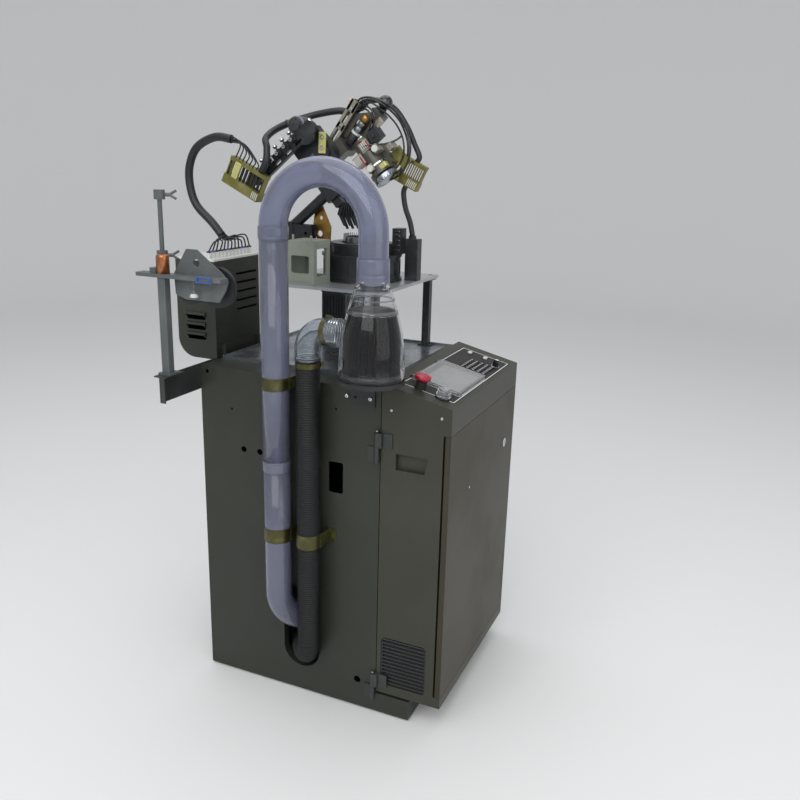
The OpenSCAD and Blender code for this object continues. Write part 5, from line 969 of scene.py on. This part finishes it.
# %% [markdown]
# ## The head's small parts
# The head is crowded: fins, pegs, collars, thumb nuts and thin air tubes. Boxes with a bevel
# tool would do, one object each, but that is slow with so many. A block here is a rounded loop at
# four heights with its ends drawn to points, and a stud or ring is a circle treated the same way.
# All have the same number of points, so many of them make one mesh.

# %% Blocks, studs and rings in one mesh
LOOP_POINTS = 24


def block_rows(x0, x1, y0, y1, z0, z1, r=1.0, c=0.4):
    """A box between two corners, as six loops going up: point, inset, full, full, inset, point."""
    cut = min(r, 0.45 * (x1 - x0), 0.45 * (y1 - y0))
    full = round_rect(x0, y0, x1, y1, cut)
    middle = np.array([(x0 + x1) / 2, (y0 + y1) / 2])
    inset = middle + (full - middle) * [1 - 2 * c / (x1 - x0), 1 - 2 * c / (y1 - y0)]
    point = middle + 0 * full
    rows = [(point, z0), (inset, z0), (full, z0 + c), (full, z1 - c), (inset, z1), (point, z1)]
    return np.stack([np.concatenate([loop, np.full((LOOP_POINTS, 1), z)], 1) for loop, z in rows], 1)


def circle_rows(at, axis, radii, heights):
    """Loops of 24 points about an axis through a point: one circle for each radius and height."""
    a = np.linspace(0, 2 * np.pi, LOOP_POINTS, endpoint=False)[:, None]
    u, v = np.cos(a) * radii, np.sin(a) * radii
    return about_axis(u, v, heights + 0 * u, axis) + np.asarray(at, float)


def stud_rows(at, axis, r, h, c=0.5):
    """A short cylinder along an axis from a point, as six loops: its edges are bevelled by c."""
    heights = np.array([0, 0, c, abs(h) - c, abs(h), abs(h)]) * np.sign(h)
    return circle_rows(at, axis, np.array([0, r - c, r, r, r - c, 0]), heights)


def ring_rows(at, axis, r_in, r_out, h):
    """A flat ring: its square section is walked round once, and the first and last loops meet."""
    radii = np.array([r_in, r_out, r_out, 0.5 * (r_in + r_out), r_in, r_in])
    return circle_rows(at, axis, radii, np.array([0, 0, h, h, h, 0.0]))


def cluster(name, grids, finish, to=on_head, body="machine"):
    """Many blocks, studs or rings in one mesh: loops joined round, rows joined up, ends as points."""
    return dressed(many(name, grids, to, False), finish, body)


print("one block has", block_rows(0, 4, 0, 4, 0, 4).reshape(-1, 3).shape[0], "points")

# %% [markdown]
# ## Finishes of the head's small parts
# The small plates are paler than the castings behind them, the brackets are bright yellow zinc,
# and a few parts are white or peach plastic. They could share the finishes above, but against
# the dark head their own shades are what makes them readable.

# %% Four more finishes
pale_casting = finish_of("pale casting", "#8b887b", "#a19e91", (0.32, 0.5), metal=0.35, bump=0.12,
                         patch=(18, 0.46, 0.7))
lemon_zinc = finish_of("lemon zinc", "#cfcb84", "#b9b56c", (0.22, 0.4), metal=0.45, bump=0.04,
                       patch=(24, 0.46, 0.7))
peach_plastic = finish_of("peach plastic", "#d9b596", "#cfaa8b", (0.35, 0.45), bump=0.03)
chalk_white = finish_of("chalk white", "#cfd1cb", "#b9bbb5", (0.35, 0.5), bump=0.04)
print("four more finishes")

# %% [markdown]
# ## Fins and blocks on the dial's housing
# Two stacks of thin white fins stand on the housing's left side, with pale and dark blocks behind
# and red tags beside them. They are small but regular, so the eye finds them. A repeat modifier
# could give the fins; one block in a loop does the same and joins them in one mesh.

# %% Fins, backing blocks, tags and dark parts
fins = [block_rows(297, 303.6, y - 1.3, y + 1.3, 28, 47) for y in (-121, -126.5, -132, -137.5)]
fins += [block_rows(297, 303.6, y - 1.3, y + 1.3, 6, 27) for y in (-83, -88.5, -94, -99.5)]
fins += [stud_rows((299.5, -150, 12), "x", 8.6, -4.5), stud_rows((299.5, -109, -18), "x", 8.8, -4.5)]
cluster("head_pale_fins", fins, chalk_white)
backs = [block_rows(302, 318, -143, -114, 23, 51, 2), block_rows(302, 326, -108, -79, 2, 31, 2),
         block_rows(298, 334, -159, -141.5, 2, 22, 2), block_rows(297.5, 316, -119, -99, -28, -8, 2),
         block_rows(318, 354, -186, -170, -12, 5, 2), block_rows(311, 318.4, -205, -160, 50, 67, 3)]
cluster("head_backing_blocks", backs, pale_casting)
tags = [block_rows(296.4, 302.5, -141.5, -139.2, 20, 44, 0.8),
        block_rows(296.4, 302.5, -104.8, -102.4, -7, 22, 0.8), block_rows(298, 303, -129, -121, 51, 54, 0.8)]
cluster("head_red_tags", tags, red_plastic)
darks = [block_rows(305, 334, -183, -147.5, 27, 56, 3), stud_rows((296, -150, 12), "x", 5.0, -0.8, 0.2),
         stud_rows((296, -109, -18), "x", 5.2, -0.8, 0.2), block_rows(300, 306, -168, -159, 36, 46, 1.5)]
cluster("head_dark_blocks", darks, black_plastic)
cluster("flange_yellow_block", [block_rows(299, 318, -151, -131, -40, -27, 2)], lemon_zinc)
print("fins, studs and blocks:", len(fins) + len(backs) + len(tags) + len(darks) + 1)

# %% [markdown]
# ## The bar on the beam
# A bar with sections of dark plastic, white, steel and brass lies on the head's beam, and a brass
# collar sits by the motor. One object with four materials would do for a picture, but a piece
# for each section lets each carry its own slot of paint. Each is a tube whose radius changes
# along a straight line.

# %% Turned bars


def round_bar(name, start, end, profile, finish, slot):
    """A turned bar between two head places: each (distance, radius) gives one circle along it."""
    p = np.array(profile, float)
    a, b = np.asarray(start, float), np.asarray(end, float)
    line = a + (b - a) / np.linalg.norm(b - a) * p[:, :1]
    return dressed(tube(name, place(on_head(line)), p[:, 1] / 1000, 28), finish, "machine")


bar = ((307.4, -96, 71), (307.4, -186, 90))
steel_profile = [(37, 9.2), (38, 10.0), (50, 10.0), (51, 9.0), (54, 9.0), (55, 10.0), (66, 10.0), (67, 9.0)]
round_bar("head_bar_dark", *bar, [(0, 9.5), (1, 10.6), (30, 10.6), (31, 9.6)], black_plastic, "black_plastic")
round_bar("head_bar_collar", *bar, [(31, 11.6), (32, 12.3), (36, 12.3), (37, 11.6)], chalk_white,
          "white_plastic")
round_bar("head_bar_steel", *bar, steel_profile, ground_steel, "bright_metal")
round_bar("head_bar_brass", *bar, [(67, 8), (68, 10.4), (74, 11.2), (81, 10.8), (85, 8.6), (86, 7.6)], brass,
          "brass")
round_bar("motor_brass_collar", (262, -21, 195.2), (262, -11, 207.2),
          [(0, 8.3), (1, 9.2), (6, 9.4), (12, 8.6), (13, 7.8)], brass, "brass")
print("bar: 86 mm long in four sections")

# %% [markdown]
# ## Strut, bracket and guide
# A strut slants down the head's left face with a pale raised rim and three screws, a bright
# bracket slants the other way behind it, and thumb nuts and rings sit along the guide. Places on
# a slanting part are easy to get wrong in the head's frame. So the strut and the bracket each
# have a frame of their own inside the head's, and their plates are plain boxes there.

# %% Strut face, pegs, thumb nuts and rings


def on_head_part(angle, y0, z0):
    """A frame within the head's own: first the part's turn and move, then the head's."""
    own = turned_frame(angle, y0, z0)
    return lambda points: on_head(own(points))


along_strut = on_head_part(math.atan2(35, -128), -44, 98)
along_bracket = on_head_part(math.atan2(36, -32), -50, 86)
rim = [(8, 24, -11.6, 11.6), (57.5, 76, -11.6, 11.6), (110.5, 142, -11.6, 11.6), (8, 142, -11.9, -4.6),
       (8, 142, 4.6, 11.9)]
cluster("strut_face", [block_rows(298.2, 300.4, *sides, 1.0) for sides in rim], pale_casting,
        along_strut)
cluster("strut_peg", [stud_rows((304, -168, 137), "z", 4.2, 15)], peach_plastic)
cluster("strut_screws", [stud_rows((298.4, s, 0), "x", 4.2, -2.2) for s in (16, 67, 118)], bright_metal,
        along_strut)
cluster("slant_bracket", [block_rows(246.6, 250.3, -8, 44, -10, 10, 2)], lemon_zinc, along_bracket)
cluster("slant_bracket_rings", [ring_rows((246.8, s, 0), "x", 3.4, 6.0, -1.6) for s in (6, 32)], bright_metal,
        along_bracket)
bright = [ring_rows((207.9, 120, 142), "x", 13.2, 17.3, -0.9), ring_rows((213.2, 120, 142), "x", 4.6, 8.6, -2.4),
          ring_rows((238.6, -34, 176), "x", 20.6, 24.0, 3.6)]
guide_y = [92 - 27 * i for i in range(5)]
for y in guide_y:
    bright += [ring_rows((203.2, y + 2, 147), "x", 2.2, 4.9, -1.0), stud_rows((215, y, 164.4), "z", 6.0, 4.2)]
nuts = [(263, -62), (275, -55), (264, -46)]
bright += [stud_rows((x, y, 148.5), "z", 5.6, h) for (x, y), h in zip(nuts, (26, 22, 17))]
bright += [ring_rows((*nuts[i], z), "z", 3, 6.8, 2.4) for i, z in ((0, 156), (0, 164), (1, 158), (2, 158))]
bright += [ring_rows((330, -120, z), "z", 26.6, 27.7, 4) for z in (-20, 44)]
bright += [ring_rows((330, -120, 62), "z", 16.6, 18.4, 7)]
cluster("head_bright_rings", bright, bright_metal)
pale = [block_rows(209.2, 214, y - 5.4, y + 5.4, 142, 154.6, 1) for y in guide_y[:2]]
pale += [block_rows(211.4, 218, y - 3, y + 3, 168.8, 174, 1) for y in guide_y[1:4]]
cluster("guide_pale_blocks", pale, chalk_white)
print("bright rings and nuts:", len(bright))

# %% [markdown]
# ## Manifold faces and sleeves
# Each manifold is a leaning block of zinc with a brighter plate on its face and dark slots
# between white bars. The rear one has a black sleeve where each thin tube goes in. Cutting slots
# would cost many faces for a shadow line. White bars that stand a little proud show the same
# rhythm.

# %% Plates, bars and sleeves of the two manifolds
cluster("rear_manifold_face", [block_rows(174.8, 183, 76, 93.4, 24.4, 66, 1)], lemon_zinc,
        on_rear_manifold)
cluster("rear_manifold_slots", [block_rows(175.2, 177, y - 1.2, y + 1.2, 3, 21, 0.8) for y in (4, 9, 14, 19)],
        chalk_white, on_rear_manifold)
ways = WAY_PITCH * (np.arange(7) + 0.5) + 2
cluster("rear_manifold_sleeves", [stud_rows((191, y, 24.1), "z", 3.7, 38) for y in ways], black_plastic,
        on_rear_manifold)
front_face = [block_rows(364.6, 368, 58, 88, 2, 22, 1), block_rows(364.6, 369.5, 76, 92, 22, 46, 1)]
cluster("front_manifold_face", front_face, lemon_zinc, on_front_manifold)
front_bars = [block_rows(364.9, 367, y - 1.1, y + 1.1, 3, 21, 0.8) for y in range(6, 32, 5)]
cluster("front_manifold_slots", front_bars, chalk_white, on_front_manifold)
print("sleeves:", len(ways), "bars:", 4 + len(front_bars))

# %% [markdown]
# ## Thin air tubes over the head
# Six thin glossy tubes loop over the head, five of them from the end of the top conduit. They
# cross each other in the air, so no rule gives their places. Their points were chosen one tube
# at a time, and the soft curve does the rest.

# %% Six loops
head_tubes = [
    ([[311, 407, 1519], [309, 388, 1533], [308, 362, 1535], [311, 338, 1526], [322, 317, 1511], [345, 301, 1487],
      [356, 288, 1455], [357, 281, 1425], [357, 284, 1395], [356, 300, 1368], [352, 325, 1350],
      [346, 346, 1346]], 5.6),
    ([[305, 409, 1523], [303, 390, 1538], [301, 362, 1540], [304, 336, 1533], [314, 312, 1518], [338, 293, 1492],
      [351, 280, 1458], [351, 272, 1426], [350, 275, 1394], [349, 291, 1362], [346, 318, 1343],
      [341, 347, 1339]], 5.6),
    ([[312, 402, 1512], [308, 384, 1525], [305, 362, 1527], [309, 342, 1516], [322, 324, 1500], [342, 309, 1478],
      [351, 296, 1450], [352, 290, 1422], [352, 293, 1397], [351, 307, 1374], [348, 328, 1357],
      [344, 343, 1352]], 4.6),
    ([[311, 400, 1519], [304, 374, 1519], [300, 355, 1505], [300, 350, 1487], [304, 358, 1470],
      [312, 369, 1458]], 4.6),
    ([[311, 396, 1515], [302, 372, 1510], [296, 361, 1497], [297, 360, 1482], [304, 366, 1466],
      [312, 374, 1450]], 4.6),
    ([[352, 296, 1452], [338, 306, 1440], [318, 326, 1430], [304, 350, 1427], [299, 372, 1424],
      [303, 384, 1418]], 5.0),
]
for k, (points, d) in enumerate(head_tubes):
    piece = cable(f"head_tube_{k}", points, d, black_gloss, None, sides=10)
    print(piece.name, "length", round(length_of(place(soft_line(points))), 3), "m")
